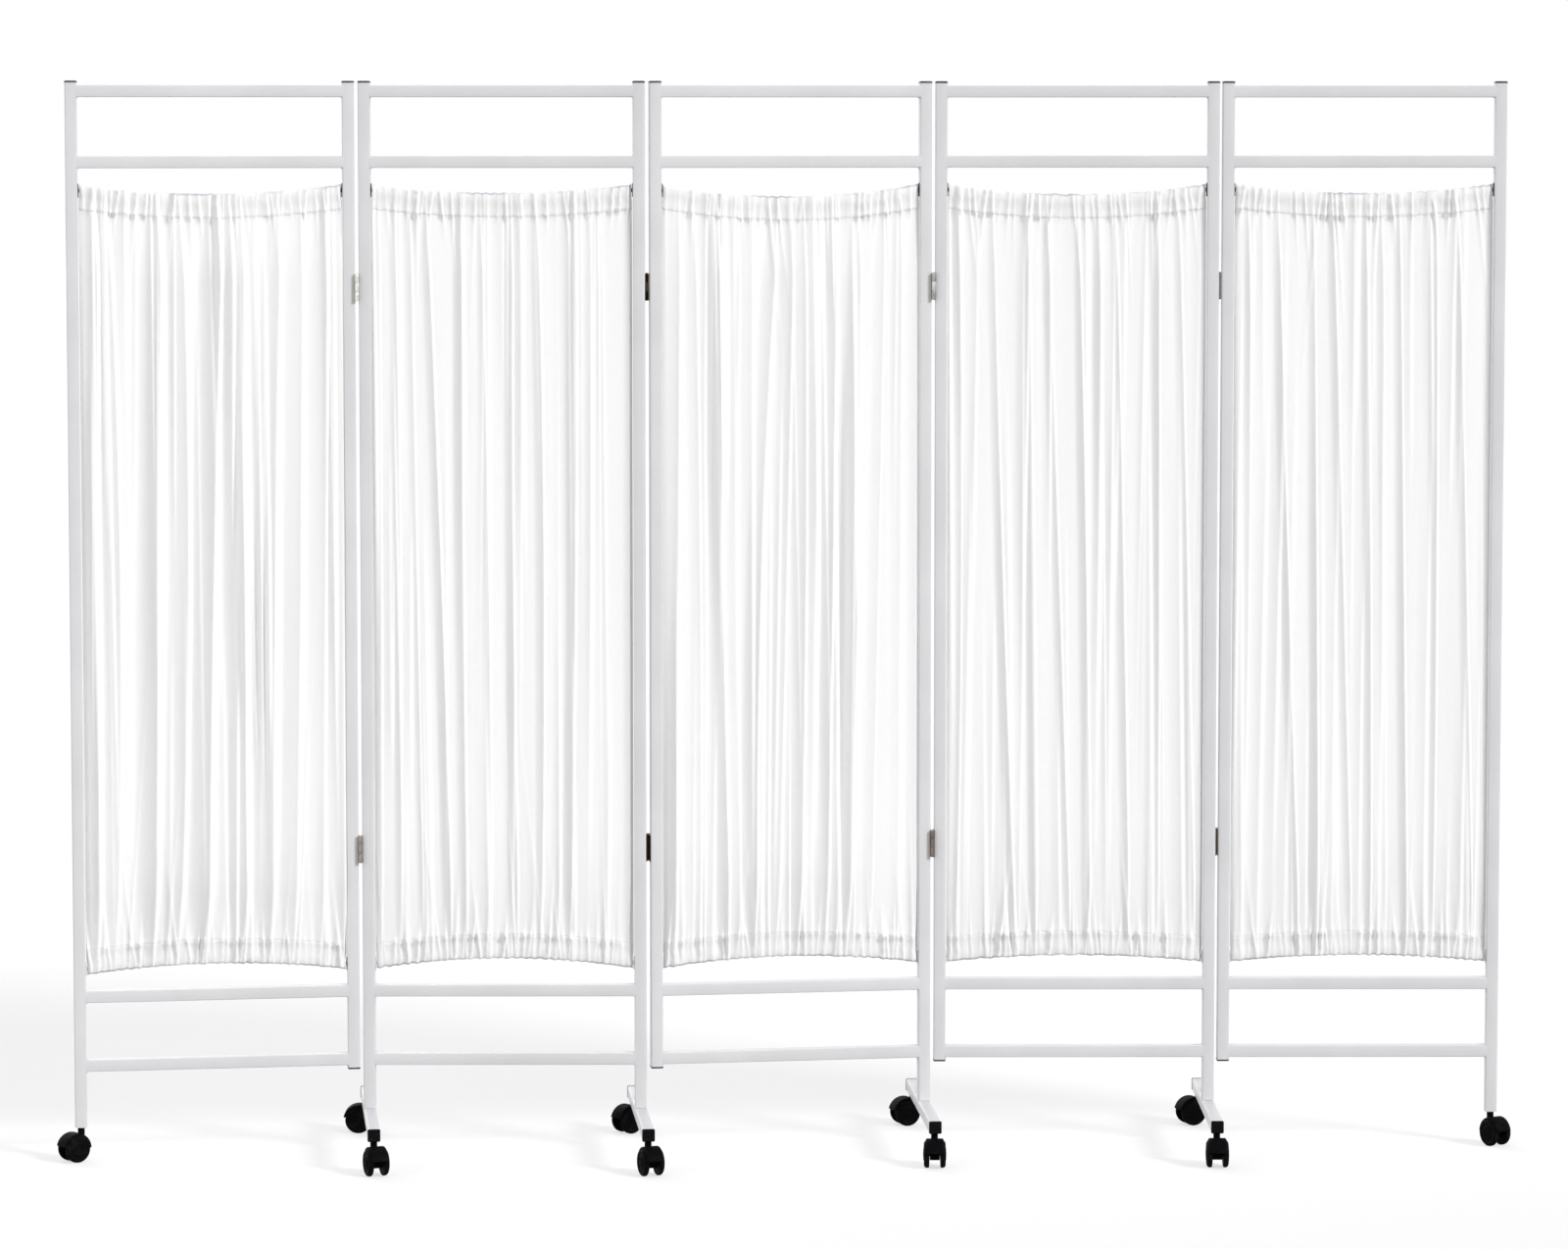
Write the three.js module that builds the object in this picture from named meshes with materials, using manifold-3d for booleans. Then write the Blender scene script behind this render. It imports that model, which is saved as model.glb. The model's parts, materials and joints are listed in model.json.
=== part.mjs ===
// Five-panel ward privacy screen on castors, in millimetres, +Z up.
// The origin is on the floor under the middle of the screen. The panels run from left to right
// along +X, and the side that the photograph shows faces -Y.

import * as THREE from "three";
import { mergeVertices } from "three/addons/utils/BufferGeometryUtils.js";
import Module from "manifold-3d";

const wasm = await Module();
wasm.setup();

// Panel frame: two posts and four rails of square steel tube
const PANEL_WIDTH = 476; // over the two posts
const SCREEN_HEIGHT = 1800; // floor to the tops of the post caps
const TUBE = 20;
const TUBE_WALL = 1.2;
const VENT = 8; // side of the vent hole between a rail and its post
const CAP_THICKNESS = 3;
const CAP_LIP = 0.8; // how far a cap's flange stands proud of its tube
const CAP_TAPER = 1.6; // how much narrower a cap's outer face is, on each side
const RAIL_END_DROP = 4; // from the end of a post's tube to its nearest rail
const TOP_RAIL_PITCH = 117; // centre to centre of the two upper rails
const LOWER_RAIL_PITCH = 116; // centre to centre of the two lower rails
const SHORT_POST_FOOT = 147; // floor to the end of a short post's tube

// Folding order of the panels: how far each is turned at rest, seen from above
const PANEL_TURNS_DEG = [8, 0, 8, 0, 0];
const HINGE_ON_FRONT = [true, false, true, false];

// Butt hinges between neighbouring posts
const HINGE_HEIGHT = 45;
const UPPER_HINGE_DROP = 339; // from the top of a post's tube to the hinge's middle
const LOWER_HINGE_RISE = 370; // from the end of a short post's tube to the hinge's middle
const LEAF_THICKNESS = 1.5;
const LEAF_DEPTH = 16; // along the post's side
const LEAF_SPACING = 1.4; // between the two leaves when the panels are in line
const KNUCKLE_RADIUS = 3.5;
const KNUCKLE_STAND_OFF = 0.5; // between the knuckle and the post's face
const KNUCKLE_SPLIT = 0.4; // between one knuckle and the next
const PIN_RADIUS = 1.5;
const PIN_PLAY = 0.4;

// Curtain wires: each runs through a hem, and its end ferrules are held inside the posts
const WIRE_RADIUS = 2;
const WIRE_HOLE_PLAY = 0.9;
const FERRULE_RADIUS = 4.2;
const FERRULE_LENGTH = 7;
const WIRE_STEPS = 6;
const TOP_SAGS = [15, 14, 20, 17, 15]; // how far each top wire is drawn down by its curtain
const BOTTOM_LIFTS = [14, 17, 15, 11, 11]; // how far each bottom wire is drawn up

// Curtains, gathered on the wires
const CURTAIN_TOP_GAP = 28; // from the second rail down to the hem's edge at the posts
const CURTAIN_BOTTOM_GAP = 27; // from the third rail up to the hem's edge at the posts
const CURTAIN_SIDE_GAP = 3; // from a post to the curtain's edge
const HEM_DEPTH = 45;
const WIRE_FROM_EDGE = 9; // from the hem's edge to the wire's middle
const TUNNEL_PLAY = 1.6; // around the wire in its hem
const CLOTH_THICKNESS = 1.5;
const FOLD_DEPTH = 7.6; // how far a fold stands to the front or the back
const HEM_FOLD_DEPTH = 0.9; // less than a tunnel's wall, which is straight inside
const FOLD_RUN_IN = 170; // below a hem, where the folds reach their full depth
const FOLD_DRIFT = 9; // how far a fold wanders sideways on its way down
const FOLDS = 12;
const EDGE_FOLD_SHARE = 0.45; // depth of the folds at a curtain's side edges
const UNEVEN_SHARE = 0.25; // how far a fold's line strays from its even place
const SWELL_SHARE = 0.2; // how much shallower the shallowest folds are

// Castors with two wheels under a hood
const CASTER_HEIGHT = 57; // floor to the face that a castor is fitted to
const WHEEL_RADIUS = 22.5;
const WHEEL_WIDTH = 9.8;
const WHEEL_CROWN = 4.2; // rounding of a wheel's rim
const WHEEL_DISH = 1.2; // how far a wheel's side is sunk inside its hub
const HUB_RADIUS = 8;
const AXLE_RADIUS = 3;
const AXLE_PLAY = 0.6;
const TRAIL = 14; // from the stem's axis back to the axle
const WEB_THICKNESS = 16.4; // of the housing between the wheels
const WEB_HUB_RADIUS = 10;
const WHEEL_SIDE_PLAY = 1.2; // between a wheel and the web
const WHEEL_TOP_PLAY = 1.3; // between a wheel and the hood
const HOOD_THICKNESS = 2.4;
const HOOD_SET_IN = 4; // how far the hood's side edge is inside the wheel's
const HOOD_SHOULDER = 2.6; // chamfer along the hood's side edges
const HOOD_FROM_DEG = 12;
const HOOD_TO_DEG = 178;
const NECK_RADIUS = 5.8;
const STEM_RADIUS = 4;
const STEM_LENGTH = 17;
const STEM_PLAY = 0.5;
const SOCKET_DEPTH = 30; // of the plug that takes a stem in a tube's end
const STEM_END_ROOM = 0.4; // above a stem in its socket

// T-shaped feet of square tube under four of the posts
const FOOT_LENGTH = 400;
const FOOT_TUBE = 20;
const CASTER_INSET = 16; // from the foot's end to the castor's stem
const FOOT_DRAIN = 6;
const SPIGOT_LENGTH = 60; // up inside the post
const SPIGOT_PLAY = 0.4;
// Each foot sits on the named post of a panel, and is turned a little on its spigot, as pictured.
const FEET = [
  { panel: 1, right: false, turnDeg: 6 },
  { panel: 1, right: true, turnDeg: 5 },
  { panel: 2, right: true, turnDeg: -4 },
  { panel: 3, right: true, turnDeg: 0 },
];
// Which way each foot's castors trail at rest, as compass turns from +X seen from above
const FRONT_TRAILS_DEG = [290, 290, 270, 270];
const BACK_TRAILS_DEG = [180, 218, 200, 200];
const LEFT_END_TRAIL_DEG = 217;
const RIGHT_END_TRAIL_DEG = 300;

// Fits and facets
const SEAT_GAP = 0.3; // between two pieces that touch
const OVERRUN = 1; // how far a cutting solid runs past what it cuts
const WHEEL_SIDES = 12;
const ROUND_SIDES = 10;
const KNUCKLE_SIDES = 8;
const HOOD_FACETS = 9;
const WIRE_SIDES = 6;

// Places that follow from the sizes above
const HALF_TUBE = TUBE / 2;
const POST_GAP = 2 * (SEAT_GAP + LEAF_THICKNESS) + LEAF_SPACING;
const TUBE_TOP = SCREEN_HEIGHT - CAP_THICKNESS;
const TOP_RAIL_CENTRE = TUBE_TOP - RAIL_END_DROP - HALF_TUBE;
const LOW_RAIL_CENTRE = SHORT_POST_FOOT + RAIL_END_DROP + HALF_TUBE;
const RAIL_CENTRES = [
  TOP_RAIL_CENTRE,
  TOP_RAIL_CENTRE - TOP_RAIL_PITCH,
  LOW_RAIL_CENTRE + LOWER_RAIL_PITCH,
  LOW_RAIL_CENTRE,
];
const UPPER_HINGE_CENTRE = TUBE_TOP - UPPER_HINGE_DROP;
const LOWER_HINGE_CENTRE = SHORT_POST_FOOT + LOWER_HINGE_RISE;
const FOOT_TOP = CASTER_HEIGHT + FOOT_TUBE;
const CURTAIN_TOP = RAIL_CENTRES[1] - HALF_TUBE - CURTAIN_TOP_GAP;
const CURTAIN_BOTTOM = RAIL_CENTRES[2] + HALF_TUBE + CURTAIN_BOTTOM_GAP;
const TOP_WIRE_END = CURTAIN_TOP - WIRE_FROM_EDGE;
const BOTTOM_WIRE_END = CURTAIN_BOTTOM + WIRE_FROM_EDGE;
const AXIS_FROM_POST = KNUCKLE_STAND_OFF + KNUCKLE_RADIUS;
const HALF_PAIR = WEB_THICKNESS / 2 + WHEEL_SIDE_PLAY + WHEEL_WIDTH;
const HOOD_RADIUS = WHEEL_RADIUS + WHEEL_TOP_PLAY + HOOD_THICKNESS;
const WHEEL_FACET = 1 / Math.cos(Math.PI / WHEEL_SIDES); // so that a wheel's flats lie at its radius

const radians = THREE.MathUtils.degToRad;

// A closed geometry as a solid that can be joined and cut.
function solidFrom(geometry) {
  const bare = geometry.index ? geometry.toNonIndexed() : geometry.clone();
  bare.deleteAttribute("normal");
  bare.deleteAttribute("uv");
  const merged = mergeVertices(bare, 1e-4);
  return new wasm.Manifold(
    new wasm.Mesh({
      numProp: 3,
      vertProperties: merged.attributes.position.array,
      triVerts: new Uint32Array(merged.index.array),
    }),
  );
}

// A solid as a geometry with flat shading.
function geometryFrom(solid) {
  const mesh = solid.getMesh();
  const points = new Float32Array(mesh.numVert * 3);
  for (let i = 0; i < mesh.numVert; i++) {
    points.set(mesh.vertProperties.subarray(i * mesh.numProp, i * mesh.numProp + 3), i * 3);
  }
  const indexed = new THREE.BufferGeometry();
  indexed.setAttribute("position", new THREE.BufferAttribute(points, 3));
  indexed.setIndex(new THREE.BufferAttribute(new Uint32Array(mesh.triVerts), 1));
  const flat = indexed.toNonIndexed();
  flat.computeVertexNormals();
  return flat;
}

function union(solids) {
  return solids.reduce((whole, next) => whole.add(next));
}

function subtractAll(solid, cutters) {
  return cutters.reduce((left, cutter) => left.subtract(cutter), solid);
}

// A block between two opposite corners, given in any order.
function block(x0, x1, y0, y1, z0, z1) {
  const geometry = new THREE.BoxGeometry(Math.abs(x1 - x0), Math.abs(y1 - y0), Math.abs(z1 - z0));
  geometry.translate((x0 + x1) / 2, (y0 + y1) / 2, (z0 + z1) / 2);
  return solidFrom(geometry);
}

function uprightCylinder(radius, z0, z1, sides, x = 0, y = 0) {
  const geometry = new THREE.CylinderGeometry(radius, radius, z1 - z0, sides);
  geometry.rotateX(Math.PI / 2);
  geometry.translate(x, y, (z0 + z1) / 2);
  return solidFrom(geometry);
}

// A cylinder whose axis runs along Y, between y0 and y1.
function crosswiseCylinder(radius, y0, y1, sides, x, z) {
  const geometry = new THREE.CylinderGeometry(radius, radius, y1 - y0, sides);
  geometry.rotateY(Math.PI / sides);
  geometry.translate(x, (y0 + y1) / 2, z);
  return solidFrom(geometry);
}

// A closed skin over loops of points that follow each other along X. Each section has an outer loop,
// which runs the way that faces outwards, and may have tunnels, whose loops run the other way. Each
// panel of the skin is split along its shorter diagonal, so that both sides of a cloth match.
function loft(sections) {
  const points = [];
  const faces = [];
  const loopsOf = (section) => [section.outer, ...(section.tunnels ?? [])];
  const starts = sections.map((section) =>
    loopsOf(section).map((loop) => {
      const start = points.length;
      points.push(...loop);
      return start;
    }),
  );
  for (let s = 0; s + 1 < sections.length; s++) {
    loopsOf(sections[s]).forEach((loop, l) => {
      const here = starts[s][l];
      const next = starts[s + 1][l];
      for (let i = 0; i < loop.length; i++) {
        const j = (i + 1) % loop.length;
        const [a, b, c, d] = [here + i, here + j, next + j, next + i];
        const steep = points[a].distanceTo(points[c]) < points[b].distanceTo(points[d]);
        faces.push(...(steep ? [[a, b, c], [a, c, d]] : [[a, b, d], [b, c, d]]));
      }
    });
  }
  for (const [s, facesBack] of [[0, true], [sections.length - 1, false]]) {
    const flat = loopsOf(sections[s]).map((loop) => loop.map((p) => new THREE.Vector2(p.y, p.z)));
    const order = loopsOf(sections[s]).flatMap((loop, l) => loop.map((_, i) => starts[s][l] + i));
    for (const [a, b, c] of THREE.ShapeUtils.triangulateShape(flat[0], flat.slice(1))) {
      faces.push(facesBack ? [order[c], order[b], order[a]] : [order[a], order[b], order[c]]);
    }
  }
  const geometry = new THREE.BufferGeometry().setFromPoints(points);
  geometry.setIndex(faces.flat());
  return geometry;
}

// A moulded cap on a tube's end: a flange that tapers to its outer face.
function cap(x, y, inner, outer) {
  const wide = (HALF_TUBE + CAP_LIP) * Math.SQRT2;
  const narrow = (HALF_TUBE + CAP_LIP - CAP_TAPER) * Math.SQRT2;
  const [first, last] = outer > inner ? [narrow, wide] : [wide, narrow];
  const geometry = new THREE.CylinderGeometry(first, last, Math.abs(outer - inner), 4);
  geometry.rotateY(Math.PI / 4);
  geometry.rotateX(Math.PI / 2);
  geometry.translate(x, y, (inner + outer) / 2);
  return solidFrom(geometry);
}

// Height of a panel's curtain edge or wire above or below its ends: a shallow parabola.
function bow(x, depth) {
  const share = (x - TUBE) / (PANEL_WIDTH - 2 * TUBE);
  return depth * 4 * share * (1 - share);
}

// The welded frame of one panel, with the moulded caps pressed into its open ends. A post ends in
// a short cap, on a foot's spigot, or in a plug that takes a castor's stem.
function panelFrame(leftEnd, rightEnd) {
  const floorOf = { short: SHORT_POST_FOOT, foot: FOOT_TOP + SEAT_GAP, caster: CASTER_HEIGHT };
  const inner = HALF_TUBE - TUBE_WALL;
  const posts = [
    { x: HALF_TUBE, end: leftEnd, inward: 1 },
    { x: PANEL_WIDTH - HALF_TUBE, end: rightEnd, inward: -1 },
  ];
  const bodies = [];
  const hollows = [];
  const fittings = [];
  const holes = [];
  for (const { x, end, inward } of posts) {
    const foot = floorOf[end];
    bodies.push(block(x - HALF_TUBE, x + HALF_TUBE, -HALF_TUBE, HALF_TUBE, foot, TUBE_TOP));
    hollows.push(block(x - inner, x + inner, -inner, inner, foot - OVERRUN, TUBE_TOP + OVERRUN));
    fittings.push(cap(x, 0, TUBE_TOP, SCREEN_HEIGHT));
    if (end === "short") {
      fittings.push(cap(x, 0, foot, foot - CAP_THICKNESS));
    }
    if (end === "caster") {
      const bore = STEM_RADIUS + STEM_PLAY;
      const plug = block(x - HALF_TUBE, x + HALF_TUBE, -HALF_TUBE, HALF_TUBE, foot, foot + SOCKET_DEPTH);
      fittings.push(plug);
      holes.push(uprightCylinder(bore, foot - OVERRUN, foot + SOCKET_DEPTH + OVERRUN, ROUND_SIDES, x));
    }
    const face = x + inward * HALF_TUBE;
    for (const z of RAIL_CENTRES) {
      const reach = inward * (TUBE_WALL + OVERRUN);
      holes.push(block(face - reach, face + reach, -VENT / 2, VENT / 2, z - VENT / 2, z + VENT / 2));
    }
    for (const z of [TOP_WIRE_END, BOTTOM_WIRE_END]) {
      const hole = new THREE.CylinderGeometry(
        WIRE_RADIUS + WIRE_HOLE_PLAY,
        WIRE_RADIUS + WIRE_HOLE_PLAY,
        2 * (TUBE_WALL + OVERRUN),
        WIRE_SIDES,
      );
      hole.rotateZ(Math.PI / 2);
      hole.translate(face, 0, z);
      holes.push(solidFrom(hole));
    }
  }
  for (const z of RAIL_CENTRES) {
    const start = TUBE - TUBE_WALL / 2;
    bodies.push(block(start, PANEL_WIDTH - start, -HALF_TUBE, HALF_TUBE, z - HALF_TUBE, z + HALF_TUBE));
    hollows.push(block(TUBE, PANEL_WIDTH - TUBE, -inner, inner, z - inner, z + inner));
  }
  const tubes = subtractAll(union(bodies), hollows);
  return geometryFrom(subtractAll(union([tubes, ...fittings]), holes));
}

// A sprung wire in its plastic sleeve, bowed by the curtain, with a ferrule inside each post.
function curtainWire(endHeight, depth) {
  const inFace = TUBE - TUBE_WALL - SEAT_GAP;
  const span = PANEL_WIDTH - 2 * TUBE;
  const stations = [
    { x: inFace - FERRULE_LENGTH, radius: FERRULE_RADIUS },
    { x: inFace, radius: FERRULE_RADIUS },
    { x: inFace, radius: WIRE_RADIUS },
  ];
  for (let i = 0; i <= WIRE_STEPS; i++) {
    stations.push({ x: TUBE + (span * i) / WIRE_STEPS, radius: WIRE_RADIUS });
  }
  for (const { x, radius } of stations.slice(0, 3).reverse()) {
    stations.push({ x: PANEL_WIDTH - x, radius });
  }
  const sections = stations.map(({ x, radius }) => {
    const inSpan = Math.min(Math.max(x, TUBE), PANEL_WIDTH - TUBE);
    const z = endHeight + bow(inSpan, depth);
    const outer = Array.from({ length: WIRE_SIDES }, (_, i) => {
      const turn = (2 * Math.PI * i) / WIRE_SIDES;
      return new THREE.Vector3(x, radius * Math.cos(turn), z + radius * Math.sin(turn));
    });
    return { outer };
  });
  return loft(sections);
}

// A gathered curtain with a hem tunnel at the top and the bottom for its wires. Its folds stand
// alternately to the front and the back, deepest between the hems.
function curtain(sag, lift, seed) {
  const left = TUBE + CURTAIN_SIDE_GAP;
  const width = PANEL_WIDTH - 2 * left;
  const tunnel = WIRE_RADIUS + TUNNEL_PLAY;
  const half = CLOTH_THICKNESS / 2;
  const columns = 2 * FOLDS;
  const sections = Array.from({ length: columns + 1 }, (_, i) => {
    const share = i / columns;
    const fromEdge = Math.sin(Math.PI * share);
    const uneven = UNEVEN_SHARE * Math.sin(5 * share + seed) * fromEdge;
    const x = left + width * (share + uneven / columns);
    const side = i % 2 ? 1 : -1;
    const waver = 1 - SWELL_SHARE + SWELL_SHARE * Math.sin(9 * share + 2 * seed);
    const swell = waver * (EDGE_FOLD_SHARE + (1 - EDGE_FOLD_SHARE) * Math.sqrt(Math.max(fromEdge, 0)));
    const deep = side * swell * FOLD_DEPTH;
    const shallow = side * swell * HEM_FOLD_DEPTH;
    const drift = FOLD_DRIFT * Math.sin(4 * share + 3 * seed) * fromEdge;
    const top = CURTAIN_TOP - bow(x, sag);
    const bottom = CURTAIN_BOTTOM + bow(x, lift);
    const rows = [
      { z: top - WIRE_FROM_EDGE, y: shallow, thick: tunnel + CLOTH_THICKNESS, move: 0 },
      { z: top - HEM_DEPTH, y: shallow, thick: half, move: 0 },
      { z: top - HEM_DEPTH - FOLD_RUN_IN, y: deep, thick: half, move: drift / 3 },
      { z: bottom + HEM_DEPTH + FOLD_RUN_IN, y: deep, thick: half, move: drift },
      { z: bottom + HEM_DEPTH, y: shallow, thick: half, move: drift },
      { z: bottom + WIRE_FROM_EDGE, y: shallow, thick: tunnel + CLOTH_THICKNESS, move: drift },
    ];
    const point = (row, sign) => new THREE.Vector3(x + row.move, row.y + sign * row.thick, row.z);
    const outer = [
      new THREE.Vector3(x, shallow, top),
      ...rows.map((row) => point(row, -1)),
      new THREE.Vector3(x + drift, shallow, bottom),
      ...rows.map((row) => point(row, 1)).reverse(),
    ];
    const tunnels = [rows[0], rows[rows.length - 1]].map(({ z, move }) =>
      [[1, 0], [0, -1], [-1, 0], [0, 1]].map(
        ([y, up]) => new THREE.Vector3(x + move, y * tunnel, z + up * tunnel),
      ),
    );
    return { outer, tunnels };
  });
  return loft(sections);
}

// One leaf of a butt hinge, with the pin's axis at its origin. sideways is -1 on the left post and
// 1 on the right one, and inward is the way along Y from the axis to the posts.
function hingeLeaf(sideways, inward, hasPin) {
  const nearFace = (sideways * LEAF_SPACING) / 2;
  const farFace = sideways * (LEAF_SPACING / 2 + LEAF_THICKNESS);
  const depth = inward * (AXIS_FROM_POST + LEAF_DEPTH);
  const plate = block(nearFace, farFace, 0, depth, 0, HINGE_HEIGHT);
  const third = HINGE_HEIGHT / 3;
  const split = KNUCKLE_SPLIT / 2;
  const room = KNUCKLE_RADIUS + KNUCKLE_SPLIT;
  const notch = (z0, z1) => block(-room, room, -room, room, z0, z1);
  const knuckle = (z0, z1) => uprightCylinder(KNUCKLE_RADIUS, z0, z1, KNUCKLE_SIDES);
  if (hasPin) {
    return geometryFrom(
      union([
        plate.subtract(notch(third - split, 2 * third + split)),
        knuckle(0, third - split),
        knuckle(2 * third + split, HINGE_HEIGHT),
        uprightCylinder(PIN_RADIUS, split, HINGE_HEIGHT - split, KNUCKLE_SIDES),
      ]),
    );
  }
  const cut = subtractAll(plate, [
    notch(-OVERRUN, third + split),
    notch(2 * third - split, HINGE_HEIGHT + OVERRUN),
  ]);
  const whole = cut.add(knuckle(third + split, 2 * third - split));
  return geometryFrom(
    whole.subtract(uprightCylinder(PIN_RADIUS + PIN_PLAY, 0, HINGE_HEIGHT, KNUCKLE_SIDES)),
  );
}

// A T-foot: a square tube with a round spigot up into the post, and a plug in each end that takes a
// castor's stem from below. Its origin is on the floor under the post.
function foot() {
  const half = FOOT_TUBE / 2;
  const inner = half - TUBE_WALL;
  const end = FOOT_LENGTH / 2;
  const flange = end - CAP_THICKNESS;
  const middle = CASTER_HEIGHT + half;
  const tube = block(-half, half, -flange, flange, CASTER_HEIGHT, FOOT_TOP);
  const hollowEnd = end - SOCKET_DEPTH;
  const hollow = block(-inner, inner, -hollowEnd, hollowEnd, middle - inner, middle + inner);
  const spigot = HALF_TUBE - TUBE_WALL - SPIGOT_PLAY;
  const upright = uprightCylinder(spigot, FOOT_TOP - TUBE_WALL / 2, FOOT_TOP + SPIGOT_LENGTH, ROUND_SIDES);
  const caps = [-1, 1].map((way) => {
    const wide = (half + CAP_LIP) * Math.SQRT2;
    const narrow = (half + CAP_LIP - CAP_TAPER) * Math.SQRT2;
    const geometry = new THREE.CylinderGeometry(
      way > 0 ? narrow : wide,
      way > 0 ? wide : narrow,
      CAP_THICKNESS,
      4,
    );
    geometry.rotateY(Math.PI / 4);
    geometry.translate(0, way * (flange + CAP_THICKNESS / 2), middle);
    return solidFrom(geometry);
  });
  const bores = [-1, 1].map((way) =>
    uprightCylinder(
      STEM_RADIUS + STEM_PLAY,
      CASTER_HEIGHT - OVERRUN,
      CASTER_HEIGHT + STEM_LENGTH + STEM_END_ROOM,
      ROUND_SIDES,
      0,
      way * (end - CASTER_INSET),
    ),
  );
  const drain = uprightCylinder(FOOT_DRAIN / 2, CASTER_HEIGHT - OVERRUN, middle, WIRE_SIDES);
  const body = union([tube.subtract(hollow), upright, ...caps]);
  return geometryFrom(subtractAll(body, [...bores, drain]));
}

// The swivelling body of a castor: hood, centre web, neck and stem, in one moulding with its
// steel stem. The stem's axis is at the origin, and the wheels trail along +X.
function casterBody() {
  const seat = CASTER_HEIGHT - SEAT_GAP;
  const hoodHalf = HALF_PAIR - HOOD_SET_IN;
  const wheelSpace = (WHEEL_RADIUS + WHEEL_TOP_PLAY) * WHEEL_FACET;
  const webHalf = WEB_THICKNESS / 2;
  const outline = new THREE.Shape();
  outline.absarc(0, 0, HOOD_RADIUS - HOOD_SHOULDER, radians(HOOD_FROM_DEG), radians(HOOD_TO_DEG));
  outline.lineTo(0, 0);
  const pie = new THREE.ExtrudeGeometry(outline, {
    depth: 2 * (hoodHalf - HOOD_SHOULDER),
    bevelThickness: HOOD_SHOULDER,
    bevelSize: HOOD_SHOULDER,
    bevelSegments: 1,
    curveSegments: HOOD_FACETS,
  });
  pie.rotateX(Math.PI / 2);
  pie.translate(TRAIL, hoodHalf - HOOD_SHOULDER, WHEEL_RADIUS);
  const hub = crosswiseCylinder(WEB_HUB_RADIUS, -webHalf, webHalf, ROUND_SIDES, TRAIL, WHEEL_RADIUS);
  const neck = uprightCylinder(NECK_RADIUS, WHEEL_RADIUS, seat, ROUND_SIDES);
  const stem = uprightCylinder(STEM_RADIUS, WHEEL_RADIUS, CASTER_HEIGHT + STEM_LENGTH, ROUND_SIDES);
  const rooms = [
    [webHalf, HALF_PAIR + OVERRUN],
    [-HALF_PAIR - OVERRUN, -webHalf],
  ].map(([y0, y1]) => crosswiseCylinder(wheelSpace, y0, y1, WHEEL_SIDES, TRAIL, WHEEL_RADIUS));
  const bore = crosswiseCylinder(
    AXLE_RADIUS + AXLE_PLAY,
    -webHalf - OVERRUN,
    webHalf + OVERRUN,
    ROUND_SIDES,
    TRAIL,
    WHEEL_RADIUS,
  );
  const whole = union([solidFrom(pie), hub, neck, stem]);
  return geometryFrom(subtractAll(whole, [...rooms, bore]));
}

// The pair of wheels on its axle, turned from one profile. A flat of the tread rests on the floor.
function casterWheels() {
  const innerFace = HALF_PAIR - WHEEL_WIDTH;
  const oneSide = [
    [0, HALF_PAIR],
    [HUB_RADIUS, HALF_PAIR],
    [HUB_RADIUS + WHEEL_DISH, HALF_PAIR - WHEEL_DISH],
    [WHEEL_RADIUS - WHEEL_CROWN, HALF_PAIR - WHEEL_DISH],
    [WHEEL_RADIUS, HALF_PAIR - WHEEL_DISH - WHEEL_CROWN],
    [WHEEL_RADIUS, innerFace],
    [AXLE_RADIUS, innerFace],
  ];
  const profile = [
    ...oneSide.map(([r, y]) => new THREE.Vector2(r * WHEEL_FACET, -y)),
    ...oneSide.map(([r, y]) => new THREE.Vector2(r * WHEEL_FACET, y)).reverse(),
  ];
  const geometry = new THREE.LatheGeometry(profile, WHEEL_SIDES);
  geometry.rotateY(Math.PI / WHEEL_SIDES);
  geometry.translate(TRAIL, 0, WHEEL_RADIUS);
  return geometry;
}

const FINISHES = {
  frame: { color: 0xe9e9ea, roughness: 0.42, metalness: 0 },
  curtain: { color: 0xf6f6f5, roughness: 0.9, metalness: 0 },
  wire: { color: 0xeceae4, roughness: 0.5, metalness: 0 },
  hinge: { color: 0x9b9284, roughness: 0.38, metalness: 1 },
  foot: { color: 0xe6e6ea, roughness: 0.35, metalness: 0 },
  caster_body: { color: 0x121212, roughness: 0.5, metalness: 0 },
  caster_wheels: { color: 0x0c0c0c, roughness: 0.6, metalness: 0 },
};

function piece(name, geometry, finish) {
  const mesh = new THREE.Mesh(geometry, new THREE.MeshStandardMaterial(FINISHES[finish]));
  mesh.name = name;
  return mesh;
}

// A castor whose stem stands at x, y of its carrier, trailing the way that trailDeg says in the
// screen's own axes. carrierTurn is how far the carrier is turned in those axes.
function caster(name, x, y, trailDeg, carrierTurn) {
  const group = new THREE.Group();
  group.position.set(x, y, 0);
  group.rotation.z = radians(trailDeg) - carrierTurn;
  group.add(piece(`caster_body_${name}`, casterBody(), "caster_body"));
  group.add(piece(`caster_wheels_${name}`, casterWheels(), "caster_wheels"));
  return group;
}

// Both hinges of one joint line, as the leaves that one panel carries. They stand at x of it.
function addLeaves(panel, line, x, sideways, hasPin) {
  const onFront = HINGE_ON_FRONT[line];
  const inward = onFront ? 1 : -1;
  const label = `${line + 1}_${line + 2}_${hasPin ? "pin" : "free"}`;
  for (const [place, centre] of [["upper", UPPER_HINGE_CENTRE], ["lower", LOWER_HINGE_CENTRE]]) {
    const leaf = piece(`hinge_leaf_${place}_${label}`, hingeLeaf(sideways, inward, hasPin), "hinge");
    leaf.position.set(x, -inward * (HALF_TUBE + AXIS_FROM_POST), centre - HINGE_HEIGHT / 2);
    panel.add(leaf);
  }
}

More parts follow.
